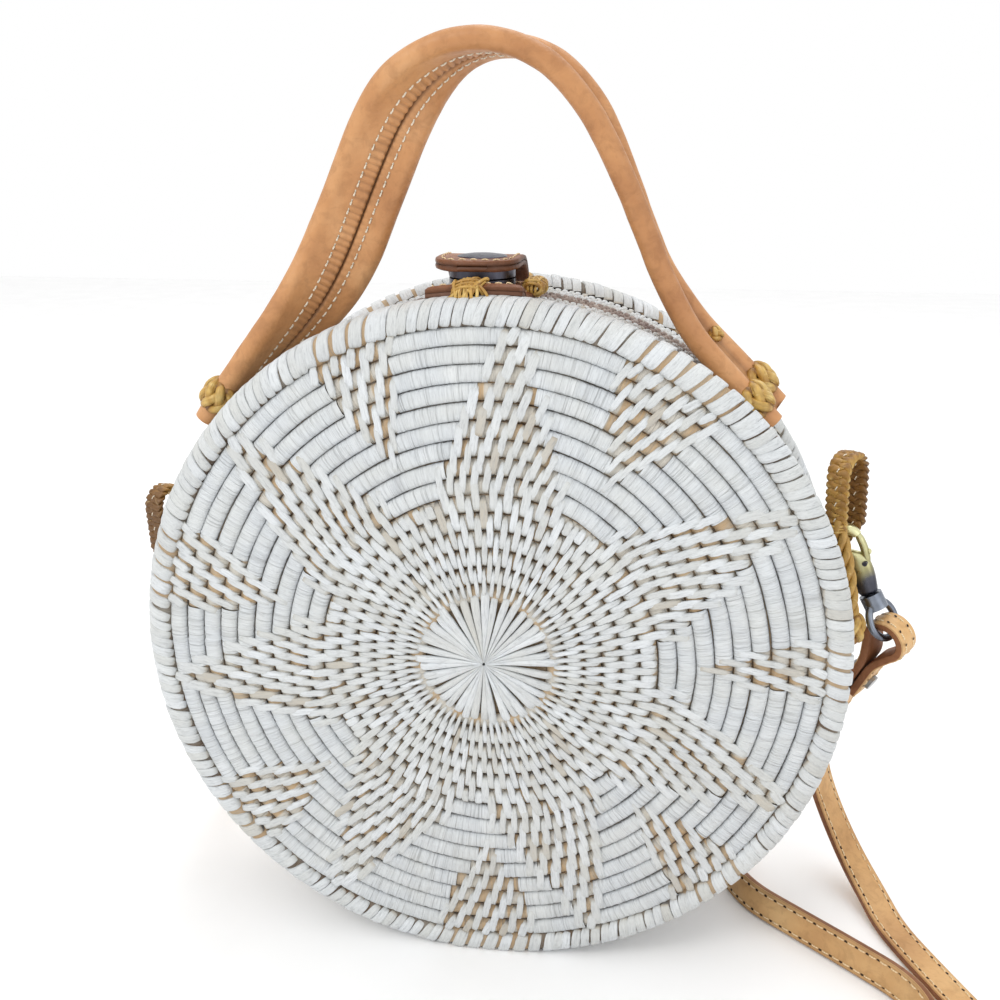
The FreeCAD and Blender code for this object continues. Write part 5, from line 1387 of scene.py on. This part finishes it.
def build_clasp(side, origin, x_dir, side_dir, up_dir):
    """A lobster clip's smooth cast body with its claw, and the sprung gate."""
    frame = np.stack([unit(vec(*x_dir)), unit(vec(*side_dir)), unit(vec(*up_dir))])
    place = lambda q: vec(*origin) + np.asarray(q, float) @ frame
    body = Soup()
    z = np.array([-22.3, -22.0, -21.2, -19.5, -17.5, -15.5, -13.5, -11.6, -10.0, -8.6, -7.4])
    mid = np.array([0.0, 0.0, 0.0, -0.05, -0.1, -0.2, -0.3, -0.5, -1.0, -2.0, -3.7])
    wide = np.array([1.8, 2.4, 2.8, 3.3, 3.9, 4.3, 4.5, 4.5, 4.0, 3.1, 2.0])
    deep = np.array([1.6, 2.0, 2.2, 2.35, 2.45, 2.5, 2.45, 2.3, 2.05, 1.8, 1.7])
    ang = np.linspace(0, 2 * np.pi, 28, endpoint=False)
    sx = np.sign(np.cos(ang)) * np.abs(np.cos(ang)) ** 0.8
    sy = np.sign(np.sin(ang)) * np.abs(np.sin(ang)) ** 0.8
    loft = np.stack(np.broadcast_arrays(mid[:, None] + wide[:, None] * sx, deep[:, None] * sy, z[:, None]), -1)
    # the claw goes on from the body's top, round over the ring
    a = np.radians(np.linspace(196, 14, 34))
    path = np.stack([4.25 * np.cos(a), -5.9 + 4.25 * np.sin(a)], -1)
    half = np.interp(np.arange(34), [0, 10, 26, 33], [1.8, 1.75, 1.65, 1.2])
    thick = np.interp(np.arange(34), [0, 8, 26, 33], [1.9, 2.1, 2.0, 1.5])
    nrm = np.stack([np.cos(a), np.sin(a)], -1)
    claw = np.stack(np.broadcast_arrays(path[:, :1] - nrm[:, :1] * half[:, None] * sx * -1, thick[:, None] * sy, path[:, 1:] + nrm[:, 1:] * half[:, None] * sx), -1)
    flipped = claw.copy()
    flipped[..., 0] = path[:, :1] - nrm[:, :1] * half[:, None] * sx
    flipped[..., 2] = path[:, 1:] - nrm[:, 1:] * half[:, None] * sx
    whole = np.concatenate([loft, claw if np.abs(claw[0] - loft[-1]).sum() < np.abs(flipped[0] - loft[-1]).sum() else flipped], 0)
    # The clip is painted dark at the bottom and bright at the claw, as painted shade and highlight.
    tone = np.interp(whole[..., 2], [-22, -18, -13, -7, -1], [0.10, 0.24, 0.62, 0.92, 1.0])
    body.patch(place(whole), np.zeros(2), tone, ring=True)
    cap(body, place(whole[0]), 0.12)
    cap(body, place(whole[-1]), 0.8, flip=True)
    o = body.build("clasp_body_" + side, CLASP)
    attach(o, "bag_body")
    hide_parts("clip_hook_" + side)
    gate = Soup()
    bar, _ = even(rounded_line([(4.25, -4.9), (4.4, -7.0), (4.2, -9.6), (3.6, -11.8), (3.1, -13.3)], 3), 0.4)
    m = len(bar)
    g = np.stack([bar[:, 0], np.zeros(m), bar[:, 1]], -1)
    # the gate is painted lighter at its top, as painted highlight
    tube(gate, place(g), np.interp(np.arange(m), [0, 3, m - 4, m - 1], [1.0, 1.25, 1.35, 1.2]), np.linspace(0.8, 0.45, m)[:, None], 14, np.broadcast_to(unit(vec(*side_dir)), g.shape), 0.9)
    tube(gate, place([(4.3 + 1.3 * f, 0.0, -10.2 - 0.5 * f) for f in np.linspace(0, 1, 6)]), np.array([0.8, 0.8, 0.75, 0.8, 0.85, 0.6]), 0.7, 12)
    o = gate.build("clasp_gate_" + side, CLASP)
    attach(o, "gate_" + side)
    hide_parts("clip_gate_" + side)


build_clasp("right", (97.353, 1.524, 131.814), (0.81388, -0.29623, 0.49985), (0.34202, 0.93969, 0), (-0.46971, 0.17096, 0.86611))
build_clasp("left", (-104.385, 1.036, 116.143), (-0.93969, 0.34202, 0), (-0.34202, -0.93969, 0), (0, 0, 1))

for side in ("left", "right"):
    dress("clip_pin_" + side, GUNMETAL)
    dress("clip_swivel_" + side, SWIVEL)
    dress("strap_rivet_" + side, STEEL)
for node in ("snap_socket", "snap_magnet", "snap_stud"):
    dress(node, GUNMETAL)

# ----------------------------------------------------------- camera and light
cam_data = bpy.data.cameras.new("camera")
cam = bpy.data.objects.new("camera", cam_data)
SCENE.collection.objects.link(cam)
cam_data.lens, cam_data.sensor_width = 40.709, 36.0
cam_data.clip_start, cam_data.clip_end = 0.01, 20.0
fwd = Vector((-0.130, 0.9434, -0.3052)).normalized()
upv = Vector((-0.0426, 0.3022, 0.9523))
right = fwd.cross(upv).normalized()
upv = right.cross(fwd)
cam.matrix_world = Matrix((
    (right.x, upv.x, -fwd.x, 0.04328),
    (right.y, upv.y, -fwd.y, -0.31678),
    (right.z, upv.z, -fwd.z, 0.23778),
    (0, 0, 0, 1),
))
SCENE.camera = cam

world = bpy.data.worlds.new("studio")
world.use_nodes = True
bg = world.node_tree.nodes["Background"]
bg.inputs["Color"].default_value = (1.0, 1.0, 1.0, 1)
bg.inputs["Strength"].default_value = 1.0
SCENE.world = world
SCENE.view_settings.view_transform = "Standard"


def area(name, place, target, size, power, colour=(1, 1, 1)):
    d = bpy.data.lights.new(name, "AREA")
    d.energy, d.size, d.color = power, size, colour
    o = bpy.data.objects.new(name, d)
    SCENE.collection.objects.link(o)
    o.location = place
    o.rotation_euler = (Vector(target) - Vector(place)).to_track_quat("-Z", "Y").to_euler()
    return o


area("key", (-0.55, -0.75, 0.95), (0, 0, 0.1), 0.5, 4.4, (1.0, 0.98, 0.95))
area("fill", (0.9, -0.7, 0.5), (0, 0, 0.1), 0.8, 1.5, (0.93, 0.96, 1.0))
area("top", (0.1, 0.35, 1.0), (0, 0, 0.15), 0.7, 3.0)

floor_soup = Soup()
gx = np.linspace(-1600, 1600, 9)
floor_soup.patch(np.stack(np.meshgrid(gx, gx, indexing="ij") + [np.zeros((9, 9))], -1), np.zeros(2), 0.5)
fs = Shader("pale_floor")
fs.set(Roughness=0.6, Specular_IOR_Level=0.2)
fn = fs.noise(30.0, 3.0, 0.5, fs.coords("Object"))
floor = floor_soup.build("floor", fs.done(fs.ramp(fn, [(0.3, (0.93, 0.93, 0.93)), (0.7, (0.96, 0.96, 0.96))])), floor=False)
